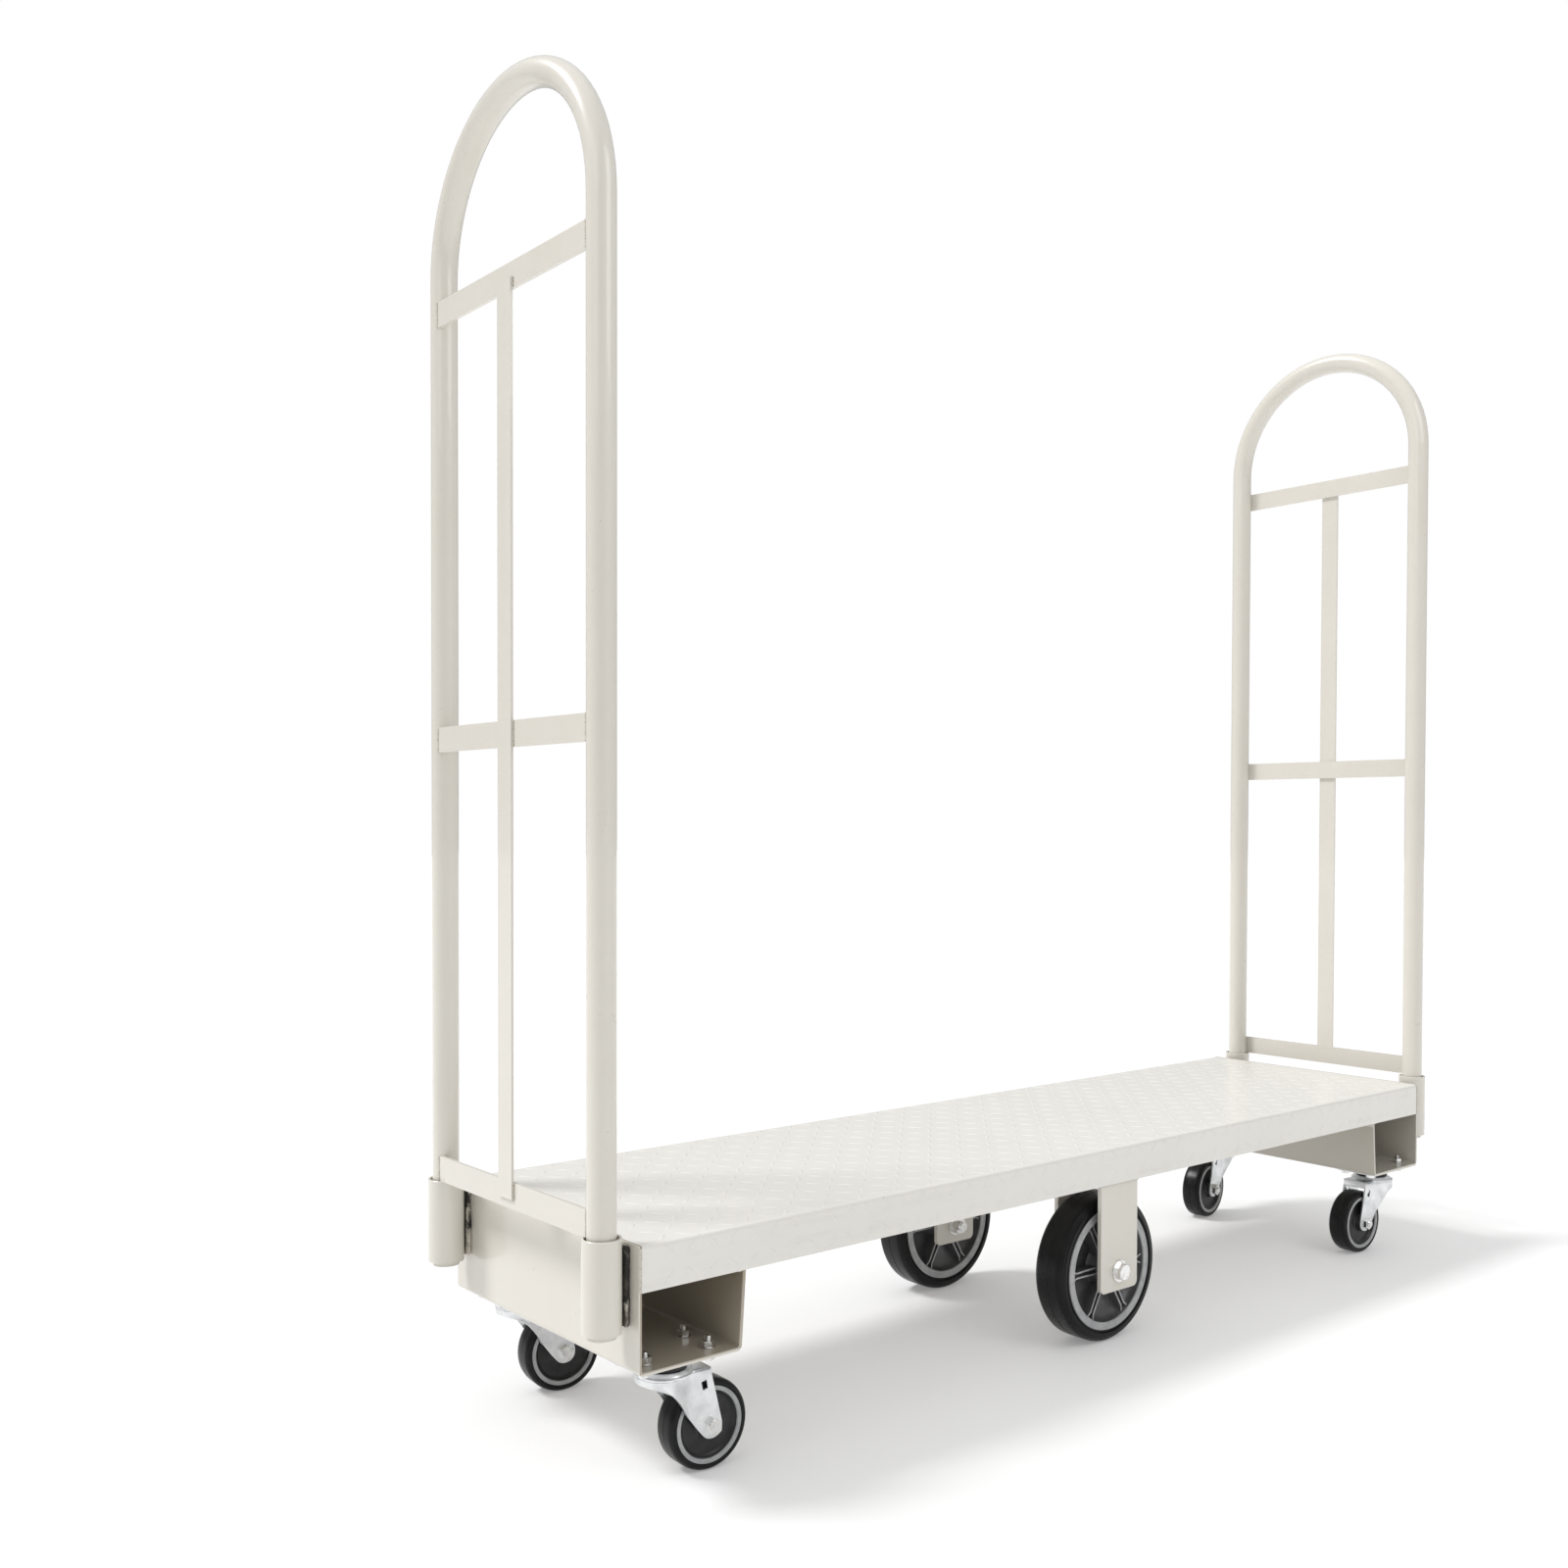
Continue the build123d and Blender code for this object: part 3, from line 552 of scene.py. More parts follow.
for row in frame["record"]["subparts"]:
    node = frame["nodes"][row["node"]]
    dress(node, NODE_FINISHES.get(row["node"], SLOT_FINISHES[row["material_slot"]]))

# ------------------------------------------------------------------ deck tread
LUG_LENGTH = 0.022
LUG_WIDTH = 0.0052
LUG_RISE = 0.00055
LUG_PITCH = 0.0285


def tread_lug(name):
    """One raised lug: the upper part of a long flat lens."""
    start_fresh()
    bpy.ops.mesh.primitive_uv_sphere_add(segments=10, ring_count=6, radius=0.5)
    piece = bpy.context.object
    piece.name = name
    placed(piece, Matrix.Diagonal((LUG_LENGTH, LUG_WIDTH, LUG_RISE * 2, 1)))
    bpy.ops.object.mode_set(mode="EDIT")
    bpy.ops.mesh.select_all(action="SELECT")
    foot = (0, 0, -LUG_RISE * 0.3)
    bpy.ops.mesh.bisect(plane_co=foot, plane_no=(0, 0, 1), clear_inner=True, use_fill=True)
    bpy.ops.object.mode_set(mode="OBJECT")
    return smooth(piece, 60)


def lug_field(name, columns, rows, origin, along, across, outward):
    """Lugs leaning alternately each way over a flat face."""
    leans = [math.radians(45), math.radians(-45)]
    pair = []
    for column in range(2):
        for row in range(2 if rows > 1 else 1):
            lean = Matrix.Rotation(leans[(column + row) % 2], 4, "Z")
            spot = Matrix.Translation((column * LUG_PITCH, row * LUG_PITCH, 0))
            pair.append(spot @ lean)
    cell = repeated(name, tread_lug(name + "_lug"), pair)
    applied(
        cell, "ARRAY", count=columns // 2, use_relative_offset=False, use_constant_offset=True,
        constant_offset_displace=(2 * LUG_PITCH, 0, 0),
    )
    if rows > 1:
        applied(
            cell, "ARRAY", count=rows // 2, use_relative_offset=False, use_constant_offset=True,
            constant_offset_displace=(0, 2 * LUG_PITCH, 0),
        )
    facing = Matrix((along, across, outward)).transposed().to_4x4()
    return placed(cell, Matrix.Translation(origin) @ facing)


COLUMNS = 54
DECK_ROWS = 14
SKIRT_ROWS = 2
SKIRT_MARGIN = 0.0105  # lowest row above the skirt's foot
start_x = -(COLUMNS - 1) / 2 * LUG_PITCH
start_y = -(DECK_ROWS - 1) / 2 * LUG_PITCH
deck_lugs = lug_field(
    "deck_tread_lugs", COLUMNS, DECK_ROWS,
    (start_x, start_y, DECK_TOP), (1, 0, 0), (0, 1, 0), (0, 0, 1),
)
fit(deck_lugs, "root", "powder_coat", TREAD)
for side, hand in SIDES.items():
    lugs = lug_field(
        f"skirt_tread_lugs_{side}", COLUMNS, SKIRT_ROWS,
        (-hand * start_x, hand * DECK_HALF, SKIRT_FOOT + SKIRT_MARGIN),
        (-hand, 0, 0), (0, 0, 1), (0, hand, 0),
    )
    fit(lugs, "root", "powder_coat", TREAD)

# ------------------------------------------------------------------ welds
SEED = 7
chance = random.Random(SEED)


def weld_bead(name, start, end, radius, flat=0.8, spread=0.2, closeness=0.75):
    """A row of overlapping weld puddles from start to end."""
    start, end = Vector(start), Vector(end)
    run = end - start
    count = max(2, round(run.length / (radius * closeness)))
    start_fresh()
    bpy.ops.mesh.primitive_uv_sphere_add(segments=8, ring_count=6, radius=radius)
    bead = bpy.context.object
    bead.name = name
    per_puddle = len(bead.data.vertices)
    applied(
        bead, "ARRAY", count=count, use_relative_offset=False, use_constant_offset=True,
        constant_offset_displace=run / (count - 1),
    )
    vertices = bead.data.vertices
    for i in range(count):
        centre = run / (count - 1) * i
        size = chance.uniform(1 - spread, 1 + spread)
        shift = Vector([chance.uniform(-spread, spread) * radius for _ in range(3)])
        for vertex in vertices[i * per_puddle:(i + 1) * per_puddle]:
            vertex.co = centre + shift + (vertex.co - centre) * size * flat
    return smooth(placed(bead, Matrix.Translation(start)), 60)


# Beads that hold the deck to the channels, and the rough seams behind the sleeves, dark partly as painted shade
for end, direction in ENDS.items():
    beads = []
    x_web = direction * (WEB_FACE - 0.002)
    x_wall = direction * (WEB_FACE - 0.143)
    for hand in SIDES.values():
        y_edge = hand * (DECK_HALF - 0.0002)
        beads.append(weld_bead(
            "bead", (x_web, y_edge, SKIRT_FOOT + 0.002), (x_web, y_edge, DECK_TOP - 0.004), 0.0022,
        ))
        y_skirt = hand * (DECK_HALF - 0.002)
        beads.append(weld_bead(
            "bead", (x_wall, y_skirt, SKIRT_FOOT), (x_wall + direction * 0.010, y_skirt, SKIRT_FOOT), 0.0018,
        ))
    fit(joined(f"deck_end_welds_{end}", beads), "root", "powder_coat", WELD)

    for side in SIDES:
        low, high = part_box(f"handle_socket_{end}_{side}")
        y_middle = (low.y + high.y) / 2
        x_gap = direction * (WEB_FACE + 0.0032)
        seams = []
        for step in (-1, 1):
            y = y_middle + step * 0.0078
            seams.append(weld_bead(
                "seam", (x_gap, y, low.z + 0.006), (x_gap, y, DECK_TOP - 0.006), 0.0036, 1.0, 0.08, 0.5
            ))
        seam = joined(f"socket_seam_welds_{end}_{side}", seams)
        # The seam beads take the dark seam finish, partly painted shade.
        fit(seam, "root", "powder_coat", SEAM_WELD_AND_SHADE if side == "left" else PALE_SEAM_WELD_AND_SHADE)

bracket_beads = []
for side, hand in SIDES.items():
    low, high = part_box(f"wheel_bracket_outer_{side}")
    y = hand * (max(abs(low.y), abs(high.y)) + 0.0012)
    z = SKIRT_FOOT - 0.0004
    bracket_beads.append(weld_bead(
        "bead", (low.x + 0.001, y, z), (high.x - 0.001, y, z), 0.0017, 0.8, 0.12,
    ))
fit(joined("bracket_welds", bracket_beads), "root", "powder_coat", WELD)

TUBE_RADIUS = 0.016
BARS = [(0.283, 0.313), (0.799, 0.829), (1.305, 1.335)]  # lower and upper edge of each crossbar
BAR_FACES = (0.0135, 0.0095)  # a crossbar's outer and inner face from the tube's middle
UPRIGHT_EDGE = 0.0153


def upright_bead(x, y, foot, head, radius):
    """A bead that runs up from foot to head, a little short of both."""
    return weld_bead("bead", (x, y, foot + 0.001), (x, y, head - 0.001), radius)


for end, direction in ENDS.items():
    low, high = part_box(f"handle_tube_{end}")
    x_tube = (low.x + high.x) / 2
    leg = high.y - TUBE_RADIUS
    beads = []
    for foot, head in BARS:
        for reach in BAR_FACES:
            y_meet = leg - math.sqrt(TUBE_RADIUS ** 2 - reach ** 2)
            for hand in SIDES.values():
                x = x_tube + direction * reach
                beads.append(upright_bead(x, hand * y_meet, foot, head, 0.0017))
    low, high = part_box(f"handle_upright_{end}")
    x = x_tube + direction * (BAR_FACES[0] + 0.0008)
    laps = [(low.z, BARS[0][1]), BARS[1], (BARS[2][0], high.z)]
    for foot, head in laps:
        for hand in SIDES.values():
            beads.append(upright_bead(x, hand * UPRIGHT_EDGE, foot, head, 0.0015))
    beads.append(weld_bead("bead", (x, -UPRIGHT_EDGE, low.z), (x, -0.004, low.z), 0.0016))
    fit(joined(f"handle_welds_{end}", beads), f"handle_{end}", "powder_coat", WELD)

# ------------------------------------------------------------------ large wheels
tyre_pattern = turned("tyre_pattern", both_faces([
    (0.0848, 0.0236), (0.0856, 0.0244), (0.0872, 0.0244), (0.0876, 0.0232), (0.0884, 0.0230),
    (0.0888, 0.0246), (0.0896, 0.0252), (0.0948, 0.0252), (0.0955, 0.0248), (0.0958, 0.0238),
    (0.0972, 0.0234), (0.0980, 0.0230), (0.0984, 0.0218), (0.1000, 0.0206), (0.1010, 0.0190),
    (0.1015, 0.0166), (0.1016, 0.0120), (0.1016, 0.0010), (0.1010, 0.0004),
]), 160)
rim_pattern = turned("rim_pattern", both_faces([
    (0.0738, 0.0215), (0.0741, 0.0246), (0.0747, 0.0254), (0.0760, 0.0254), (0.0765, 0.0249),
    (0.0812, 0.0249), (0.0817, 0.0254), (0.0840, 0.0254), (0.0847, 0.0248), (0.0850, 0.0200),
]), 144)
dish_pattern = turned("dish_pattern", both_faces([
    (0.0235, 0.0060), (0.0300, 0.0048), (0.0520, 0.0062), (0.0620, 0.0090), (0.0690, 0.0135),
    (0.0722, 0.0190), (0.0738, 0.0236), (0.0748, 0.0236), (0.0748, 0.0200),
]), 144)
boss_pattern = turned("boss_pattern", both_faces([
    (0.0176, 0.0292), (0.0184, 0.0300), (0.0206, 0.0300), (0.0216, 0.0292), (0.0222, 0.0240),
    (0.0240, 0.0180), (0.0262, 0.0080), (0.0290, 0.0046), (0.0176, 0.0046),
]), 96)
seal_pattern = turned("seal_pattern", [
    (0.0072, 0.0180), (0.0072, 0.0296), (0.0098, 0.0298), (0.0102, 0.0290), (0.0112, 0.0290),
    (0.0116, 0.0300), (0.0142, 0.0303), (0.0164, 0.0298), (0.0175, 0.0288), (0.0175, 0.0180),
], 72)


SPOKE_FOOT = 0.0215
SPOKE_DIP = 0.0400  # where the ribs are lowest
SPOKE_FLARE = 0.0655  # where the two ribs begin to part
SPOKE_END = 0.0732


def spoke(name):
    """One spoke: two thin ribs that part at the rim, with a lower floor between them."""
    ribs = []
    for hand in (-1, 1):
        rib = block("rib", (SPOKE_FOOT, -0.0012, -0.0214), (SPOKE_END, 0.0012, 0.0214))
        select_only(rib)
        bpy.ops.object.mode_set(mode="EDIT")
        for cut in (SPOKE_FLARE, SPOKE_DIP):
            bpy.ops.mesh.select_all(action="SELECT")
            bpy.ops.mesh.bisect(plane_co=(cut, 0, 0), plane_no=(1, 0, 0))
        bpy.ops.object.mode_set(mode="OBJECT")
        for vertex in rib.data.vertices:
            along = (vertex.co.x - SPOKE_FOOT) / (SPOKE_FLARE - SPOKE_FOOT)
            flare = max(0.0, vertex.co.x - SPOKE_FLARE) / 0.0073
            vertex.co.y += hand * (0.0042 - 0.0008 * along + 0.0030 * flare)
            if abs(vertex.co.x - SPOKE_DIP) < 0.0002:
                vertex.co.z *= 0.985
        applied(rib, "BEVEL", width=0.0004, segments=2, limit_method="ANGLE")
        ribs.append(rib)
    floor = block("floor", (SPOKE_FOOT, -0.0034, -0.0172), (0.0700, 0.0034, 0.0172))
    return smooth(joined(name, ribs + [floor]), 30)


spokes_pattern = repeated("spokes_pattern", spoke("spoke"), about(6))
dress(spokes_pattern, DISH, RIB_PAINTED_HIGHLIGHT)
# The ribs' outer faces get the painted highlight.
for polygon in spokes_pattern.data.polygons:
    if abs(polygon.normal.z) > 0.3 and abs(polygon.center.z) > 0.0185:
        polygon.material_index = 1

for side, hand in SIDES.items():
    body = f"wheel_{side}"
    place = Matrix.Translation(wheel_centre(side)) @ Matrix.Rotation(-hand * math.pi / 2, 4, "X")
    tread = placed(copy_of(tyre_pattern, f"wheel_tread_{side}"), place)
    fit(tread, body, "tyre", RUBBER, f"wheel_tyre_{side}")
    dish = placed(copy_of(dish_pattern, f"wheel_dish_{side}"), place)
    fit(dish, body, "wheel_core", DISH, f"wheel_core_{side}")
    fit(placed(copy_of(rim_pattern, f"wheel_rim_ring_{side}"), place), body, "wheel_core", RIM)
    fit(placed(copy_of(boss_pattern, f"wheel_hub_boss_{side}"), place), body, "wheel_core", DISH)
    ribs = placed(copy_of(spokes_pattern, f"wheel_spokes_{side}"), place)
    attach(ribs, body)
    seals = [placed(copy_of(seal_pattern, "seal"), place @ turn) for turn in about(2, "X")]
    fit(joined(f"wheel_bearing_seals_{side}", seals), body, "seal", SEAL, f"wheel_bearings_{side}")
for pattern in (tyre_pattern, rim_pattern, dish_pattern, boss_pattern, seal_pattern, spokes_pattern):
    bpy.data.objects.remove(pattern)

# Axle bolts: a turned-off hexagon head outside, and the thread showing inside
AXLE = 0.014
AXLE_THREAD = 0.0012  # from one turn to the next
for side, hand in SIDES.items():
    bolt_low, bolt_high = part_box(f"wheel_axle_bolt_{side}")
    outer = max(abs(bolt_low.y), abs(bolt_high.y))
    inner = min(abs(bolt_low.y), abs(bolt_high.y))
    head = hexagon("head", 0.021, outer - 0.009, outer)
    ridges = []
    for i in range(5):
        z = inner + 0.0008 + i * AXLE_THREAD
        ridges += [(AXLE / 2, z), (AXLE / 2 - 0.0006, z + 0.0006)]
    shank = turned("shank", [(0, inner), (AXLE / 2 - 0.001, inner)] + ridges + [
        (AXLE / 2, inner + 0.0075), (AXLE / 2, outer - 0.008), (0, outer - 0.008),
    ], 48)
    centre = wheel_centre(side)
    place = Matrix.Translation((centre.x, 0, centre.z)) @ Matrix.Rotation(-hand * math.pi / 2, 4, "X")
    bolt = placed(joined(f"wheel_bolt_{side}", [head, shank]), place)
    fit(bolt, "root", "fastener", FASTENER, f"wheel_axle_bolt_{side}")

# ------------------------------------------------------------------ casters
CASTER_RADIUS = 0.0508
CASTER_TRAIL = 0.049
FORK_TOP = 0.1177
FORK_SHEET = 0.003

# Half of the fork's wall, from the rear of a leg round to the front: upper edge, then lower edge
FORK_RIDGE = [
    (0.0470, -0.0210, 0.1150), (0.0405, -0.0210, 0.1150), (0.0340, -0.0210, 0.1150),
    (0.0265, -0.0210, 0.1150), (0.0200, -0.0210, 0.1150), (0.0170, -0.0218, 0.1150),
    (0.0100, -0.0252, 0.1150), (0.0010, -0.0290, 0.1150), (-0.0085, -0.0318, 0.1150),
    (-0.0170, -0.0294, 0.1150), (-0.0245, -0.0236, 0.1150), (-0.0305, -0.0150, 0.1150),
    (-0.0340, 0.0, 0.1150),
]
FORK_HEM = [
    (0.0620, -0.0210, 0.0540), (0.0616, -0.0210, 0.0462), (0.0570, -0.0210, 0.0398),
    (0.0490, -0.0210, 0.0374), (0.0405, -0.0210, 0.0394), (0.0325, -0.0210, 0.0475),
    (0.0200, -0.0210, 0.0634), (0.0170, -0.0218, 0.0676), (0.0085, -0.0252, 0.0805),
    (-0.0040, -0.0286, 0.0960), (-0.0170, -0.0285, 0.1040), (-0.0285, -0.0180, 0.1070),
    (-0.0340, 0.0, 0.1078),
]


def eased(points, steps):
    """More points along a smooth line through the given ones."""
    ends = [points[0]] + points + [points[-1]]
    line = []
    for a, b, c, d in zip(ends, ends[1:], ends[2:], ends[3:]):
        a, b, c, d = Vector(a), Vector(b), Vector(c), Vector(d)
        for i in range(steps):
            t = i / steps
            line.append(
                b + (c - a) * (t / 2) + (a * 2 - b * 5 + c * 4 - d) * (t * t / 2)
                + (b * 3 - a - c * 3 + d) * (t ** 3 / 2)
            )
    return line + [Vector(points[-1])]


def mirrored(line):
    """The line, then its other half across the middle."""
    return line + [Vector((p.x, -p.y, p.z)) for p in reversed(line[:-1])]


def fork_wall(name):
    """The fork's wall: flat legs that swell forwards into the round front of the crown."""
    ridge = mirrored(eased(FORK_RIDGE, 3))
    hem = mirrored(eased(FORK_HEM, 3))
    rows = 10
    start_fresh()
    bpy.ops.mesh.primitive_grid_add(x_subdivisions=len(ridge) - 1, y_subdivisions=rows, size=1)
    piece = bpy.context.object
    piece.name = name
    for j in range(rows + 1):
        for i, (high, low) in enumerate(zip(ridge, hem)):
            piece.data.vertices[j * len(ridge) + i].co = high.lerp(low, j / rows)
    tidy_mesh(piece)
    if piece.data.polygons[0].normal.y > 0:
        piece.data.flip_normals()
    applied(piece, "SOLIDIFY", thickness=FORK_SHEET, offset=-1.0, use_even_offset=False)
    cutter = block("cutter", (-0.0034, -0.05, -0.0047), (0.0034, 0.05, 0.0047))
    placed(cutter, Matrix.Translation((0.0390, 0, 0.0985)) @ Matrix.Rotation(math.radians(-12), 4, "Y"))
    applied(piece, "BOOLEAN", operation="DIFFERENCE", solver="EXACT", object=cutter)
    bpy.data.objects.remove(cutter)
    applied(piece, "BEVEL", width=0.0005, segments=2, limit_method="ANGLE", angle_limit=math.radians(50))
    return smooth(piece, 40)


def fork_top_sheet(name):
    """The sheet between the legs, with its edge folded over into the wall."""
    ridge = mirrored(eased(FORK_RIDGE, 3))
    start_fresh()
    bpy.ops.mesh.primitive_circle_add(vertices=len(ridge), radius=1, fill_type="NGON")
    piece = bpy.context.object
    piece.name = name
    for vertex, point in zip(piece.data.vertices, ridge):
        vertex.co = (point.x, point.y, FORK_TOP)
    bpy.ops.object.mode_set(mode="EDIT")
    bpy.ops.mesh.select_all(action="SELECT")
    bpy.ops.mesh.extrude_region_move(TRANSFORM_OT_translate={"value": (0, 0, -FORK_SHEET)})
    bpy.ops.object.mode_set(mode="OBJECT")
    tidy_mesh(piece)
    for edge in piece.data.edges:
        a, b = [piece.data.vertices[v].co for v in edge.vertices]
        edge.select = a.z > FORK_TOP - 0.0001 and b.z > FORK_TOP - 0.0001
    bpy.ops.object.mode_set(mode="EDIT")
    bpy.ops.mesh.bevel(offset=0.0024, segments=4)
    bpy.ops.object.mode_set(mode="OBJECT")
    return smooth(piece, 50)


crown = turned("crown", [
    (0.0063, 0.1227), (0.0228, 0.1227), (0.0258, 0.1223), (0.0280, 0.1212), (0.0292, 0.1196),
    (0.0300, 0.1182), (0.0316, 0.1175), (0.0316, 0.1160), (0.0063, 0.1160),
], 96)
# The rear edge of the crown, folded down between the legs
lip = block("lip", (0.0446, -0.0208, 0.1072), (0.0476, 0.0208, 0.1176))
for vertex in lip.data.vertices:
    if vertex.co.z < 0.11:
        vertex.co.x += 0.0012
applied(lip, "BEVEL", width=0.0011, segments=3, limit_method="ANGLE")
smooth(lip, 40)
fork_pattern = joined("fork_pattern", [fork_wall("wall"), fork_top_sheet("sheet"), lip, crown])

caster_tyre_pattern = turned("caster_tyre_pattern", both_faces([
    (0.0424, 0.0150), (0.0430, 0.0158), (0.0438, 0.0160), (0.0443, 0.0156), (0.0448, 0.0157),
    (0.0473, 0.0156), (0.0483, 0.0150), (0.0496, 0.0136), (0.0504, 0.0118), (0.0508, 0.0090),
    (0.0508, 0.0006), (0.0504, 0.0002),
]), 128)
caster_ring_pattern = turned("caster_ring_pattern", both_faces([
    (0.0372, 0.0130), (0.0376, 0.0152), (0.0383, 0.0160), (0.0399, 0.0161), (0.0402, 0.0157),
    (0.0405, 0.0157), (0.0408, 0.0161), (0.0423, 0.0160), (0.0427, 0.0154), (0.0427, 0.0130),
]), 112)
caster_disc_pattern = turned("caster_disc_pattern", both_faces([
    (0.0330, 0.0104), (0.0345, 0.0112), (0.0362, 0.0140), (0.0376, 0.0142), (0.0376, 0.0120),
    (0.0330, 0.0060),
]), 96)
facets = turned("facets", both_faces([
    (0.0051, 0.0176), (0.0120, 0.0176), (0.0142, 0.0168), (0.0155, 0.0128), (0.0185, 0.0114),
    (0.0352, 0.0103), (0.0352, 0.0060),
]), 12)
smooth(facets, 12)
caster_disc_pattern = joined("caster_disc_pattern", [caster_disc_pattern, facets])

caster_head = hexagon("caster_head", 0.017, 0.0210, 0.0275, 0.0010)
caster_shank = turned("caster_shank", [
    (0, -0.0320), (0.0040, -0.0320), (0.0050, -0.0310), (0.0045, -0.0304), (0.0050, -0.0298),
    (0.0050, 0.0212), (0, 0.0212),
], 40)
caster_bolt_pattern = joined("caster_bolt_pattern", [caster_head, caster_shank])
caster_nut_pattern = hexagon("caster_nut_pattern", 0.017, 0.0210, 0.0290, 0.0010)

for end, side in CORNERS:
    corner = f"{end}_{side}"
    place = caster_place(end, side)
    hub = place @ Matrix.Translation((CASTER_TRAIL, 0, CASTER_RADIUS))
    across = hub @ Matrix.Rotation(math.pi / 2, 4, "X")
    back = hub @ Matrix.Rotation(-math.pi / 2, 4, "X")
    fork, wheel = f"fork_{corner}", f"caster_{corner}"
    shell = placed(copy_of(fork_pattern, f"caster_fork_shell_{corner}"), place)
    fit(shell, fork, "zinc_plate", ZINC, f"caster_fork_{corner}")
    bolt = placed(copy_of(caster_bolt_pattern, f"caster_bolt_{corner}"), across)
    fit(bolt, fork, "fastener", FASTENER, f"caster_axle_bolt_{corner}")
    nut = placed(copy_of(caster_nut_pattern, f"caster_nut_{corner}"), back)
    fit(nut, fork, "fastener", FASTENER, f"caster_axle_nut_{corner}")
    tread = placed(copy_of(caster_tyre_pattern, f"caster_tread_{corner}"), across)
    fit(tread, wheel, "tyre", RUBBER, f"caster_tyre_{corner}")
    disc = placed(copy_of(caster_disc_pattern, f"caster_disc_{corner}"), across)
    fit(disc, wheel, "wheel_core", CORE, f"caster_core_{corner}")
    ring = placed(copy_of(caster_ring_pattern, f"caster_rim_ring_{corner}"), across)
    fit(ring, wheel, "wheel_core", RIM)
for pattern in (
    fork_pattern, caster_tyre_pattern, caster_ring_pattern, caster_disc_pattern,
    caster_bolt_pattern, caster_nut_pattern,
):
    bpy.data.objects.remove(pattern)

# ------------------------------------------------------------------ bolts of the top plates
PLATE_BOLT = 0.004  # radius
PLATE_THREAD = 0.0011  # from one turn to the next
BOLT_STEP = (0.042, 0.023)  # bolt from the swivel axis
SEAT = CHANNEL_FLOOR + 0.0016

ridges = []
for i in range(7):
    z = SEAT + 0.0107 - i * PLATE_THREAD
    ridges += [(PLATE_BOLT - 0.0005, z), (PLATE_BOLT, z - 0.0005)]
tip = [(0, SEAT + 0.0118), (0.0022, SEAT + 0.0116), (0.0033, SEAT + 0.0110)]
foot = [(PLATE_BOLT, PLATE_FOOT - 0.0005), (0, PLATE_FOOT - 0.0005)]
stud = turned("stud", tip + ridges + foot, 24)
stud_head = hexagon("stud_head", 0.013, 0, 0.0055, 0.0009)
placed(stud_head, Matrix.Translation((0, 0, PLATE_FOOT)) @ Matrix.Rotation(math.pi, 4, "X"))
stud = joined("stud", [stud, stud_head])
nut = hexagon("nut", 0.013, SEAT, SEAT + 0.0065, 0.0011)
washer = turned("washer", [
    (0.0042, CHANNEL_FLOOR), (0.0081, CHANNEL_FLOOR), (0.0085, CHANNEL_FLOOR + 0.0004),
    (0.0085, SEAT - 0.0004), (0.0081, SEAT), (0.0042, SEAT),
], 40)
spots = []
for end, side in CORNERS:
    pivot = JOINTS[f"caster_{end}_{side}_swivel"]["pos_m"]
    for i in (-1, 1):
        for j in (-1, 1):
            spot = (pivot[0] + i * BOLT_STEP[0], pivot[1] + j * BOLT_STEP[1], 0)
            turn = Matrix.Rotation(chance.uniform(0, math.pi), 4, "Z")
            spots.append(Matrix.Translation(spot) @ turn)
fit(repeated("plate_studs", stud, spots), "root", "fastener", FASTENER, "caster_plate_bolts")
fit(repeated("plate_nuts", nut, spots), "root", "fastener", FASTENER, "caster_plate_nuts")
fit(repeated("plate_washers", washer, spots), "root", "fastener", FASTENER, "caster_plate_washers")

# ------------------------------------------------------------------ floor, light and camera
floor_finish = Finish("pale_floor", Roughness=0.7, Emission_Strength=0.22)
floor_finish.shader.inputs["Emission Color"].default_value = (1, 1, 1, 1)
floor_finish.feed(Base_Color=floor_finish.blend(
    floor_finish.noise(1.2) * 0.3, colour(0.70, 0.70, 0.70), colour(0.68, 0.68, 0.68)))
start_fresh()
bpy.ops.mesh.primitive_plane_add(size=60)
floor = dress(bpy.context.object, floor_finish.material)
floor.name = "floor"


SKY_LOW = 0.44
SKY_RISE = 0.5


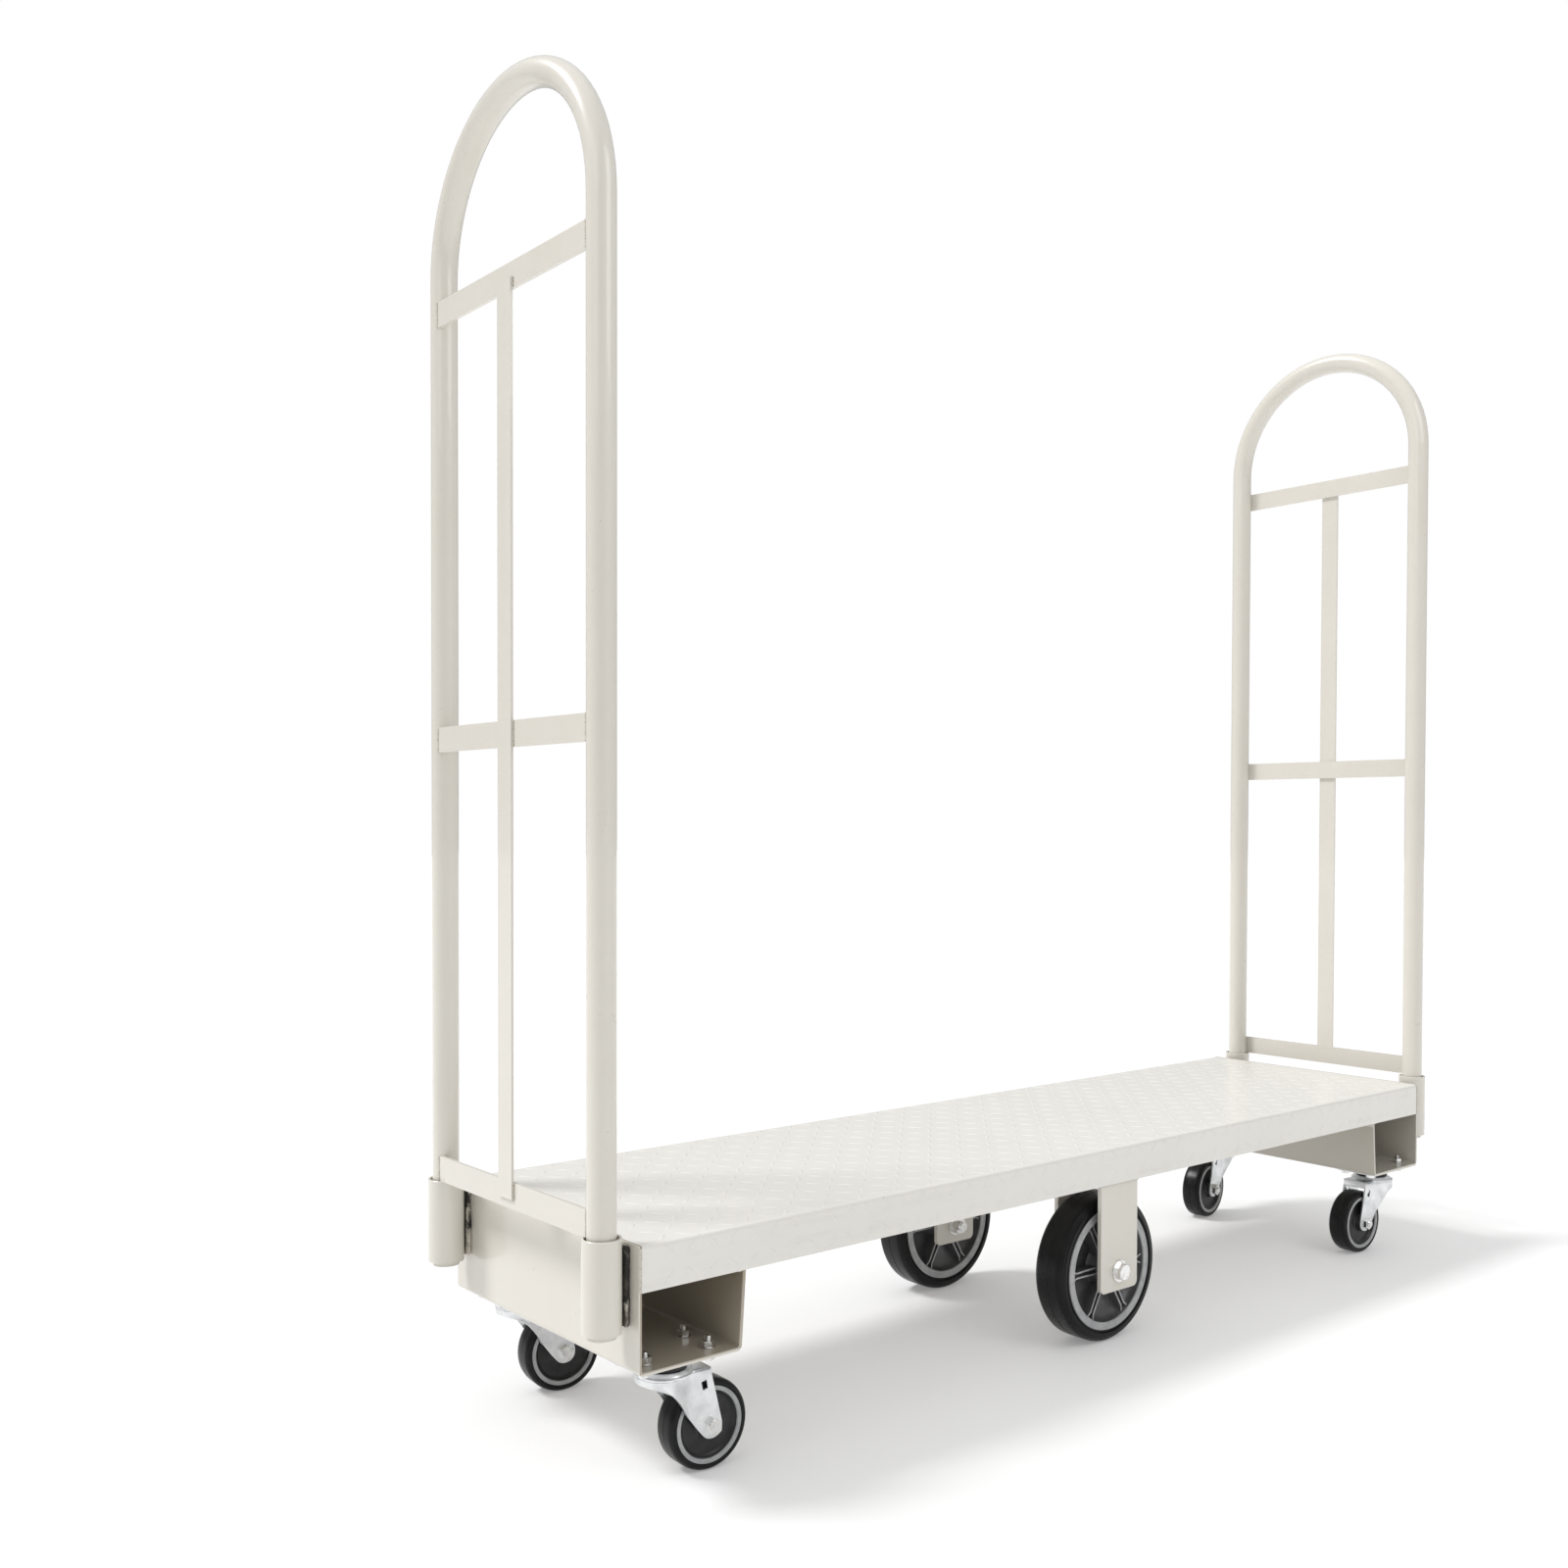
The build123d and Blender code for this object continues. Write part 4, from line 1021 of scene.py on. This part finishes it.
def studio_world(name):
    """White surroundings that light the truck mostly from above and look plain white themselves."""
    world = bpy.data.worlds.new(name)
    bpy.context.scene.world = world
    world.use_nodes = True
    nodes, links = world.node_tree.nodes, world.node_tree.links
    direction = nodes.new("ShaderNodeTexCoord")
    parts = nodes.new("ShaderNodeSeparateXYZ")
    square = nodes.new("ShaderNodeMath")
    square.operation = "MULTIPLY"
    level = nodes.new("ShaderNodeMath")
    level.operation = "MULTIPLY_ADD"
    level.inputs[1].default_value = SKY_RISE
    level.inputs[2].default_value = SKY_LOW
    seen = nodes.new("ShaderNodeLightPath")
    brightest = nodes.new("ShaderNodeMath")
    brightest.operation = "MAXIMUM"
    links.new(direction.outputs["Generated"], parts.inputs[0])
    links.new(parts.outputs["Z"], square.inputs[0])
    links.new(parts.outputs["Z"], square.inputs[1])
    links.new(square.outputs[0], level.inputs[0])
    links.new(level.outputs[0], brightest.inputs[0])
    links.new(seen.outputs["Is Camera Ray"], brightest.inputs[1])
    links.new(brightest.outputs[0], nodes["Background"].inputs["Strength"])
    nodes["Background"].inputs["Color"].default_value = (1, 1, 1, 1)


studio_world("studio")
sun = bpy.data.lights.new("key_light", "SUN")
sun.energy = 2.1
sun.angle = math.radians(16)
key_light = bpy.data.objects.new("key_light", sun)
key_light.rotation_euler = Vector((0.77, -0.64, -1.2)).to_track_quat("-Z", "Y").to_euler()
bpy.context.scene.collection.objects.link(key_light)
FILLS = [
    ("side_fill", (0.5, -3.8, 1.3), (0, 0, 0.5), 3.0, 5),
    ("upper_fill", (0.2, -2.4, 2.7), (0, 0, 1.4), 1.6, 15),
    ("end_fill", (-3.1, -0.9, 2.6), (-0.8, 0, 1.4), 1.6, 6),
]
for name, place, target, size, power in FILLS:
    light = bpy.data.lights.new(name, "AREA")
    light.size = size
    light.energy = power
    lamp = bpy.data.objects.new(name, light)
    lamp.location = place
    lamp.rotation_euler = (Vector(target) - Vector(place)).to_track_quat("-Z", "Y").to_euler()
    bpy.context.scene.collection.objects.link(lamp)

CAMERA_PLACE = Vector((-1.6879, -1.5217, 0.7150))
YAW, PITCH, ROLL = 0.88229, -0.02027, 0.00234
ahead = Vector((math.cos(YAW) * math.cos(PITCH), math.sin(YAW) * math.cos(PITCH), math.sin(PITCH)))
level = Vector((math.sin(YAW), -math.cos(YAW), 0))
up = level.cross(ahead)
right = level * math.cos(ROLL) + up * math.sin(ROLL)
up = up * math.cos(ROLL) - level * math.sin(ROLL)
lens = bpy.data.cameras.new("camera")
lens.sensor_width = 36.0
lens.lens = 35.217
lens.shift_y = 0.04496
lens.clip_end = 100
camera = bpy.data.objects.new("camera", lens)
bpy.context.scene.collection.objects.link(camera)
camera.matrix_world = Matrix.Translation(CAMERA_PLACE) @ Matrix((right, up, -ahead)).transposed().to_4x4()
bpy.context.scene.camera = camera
bpy.context.scene.view_settings.view_transform = "Standard"
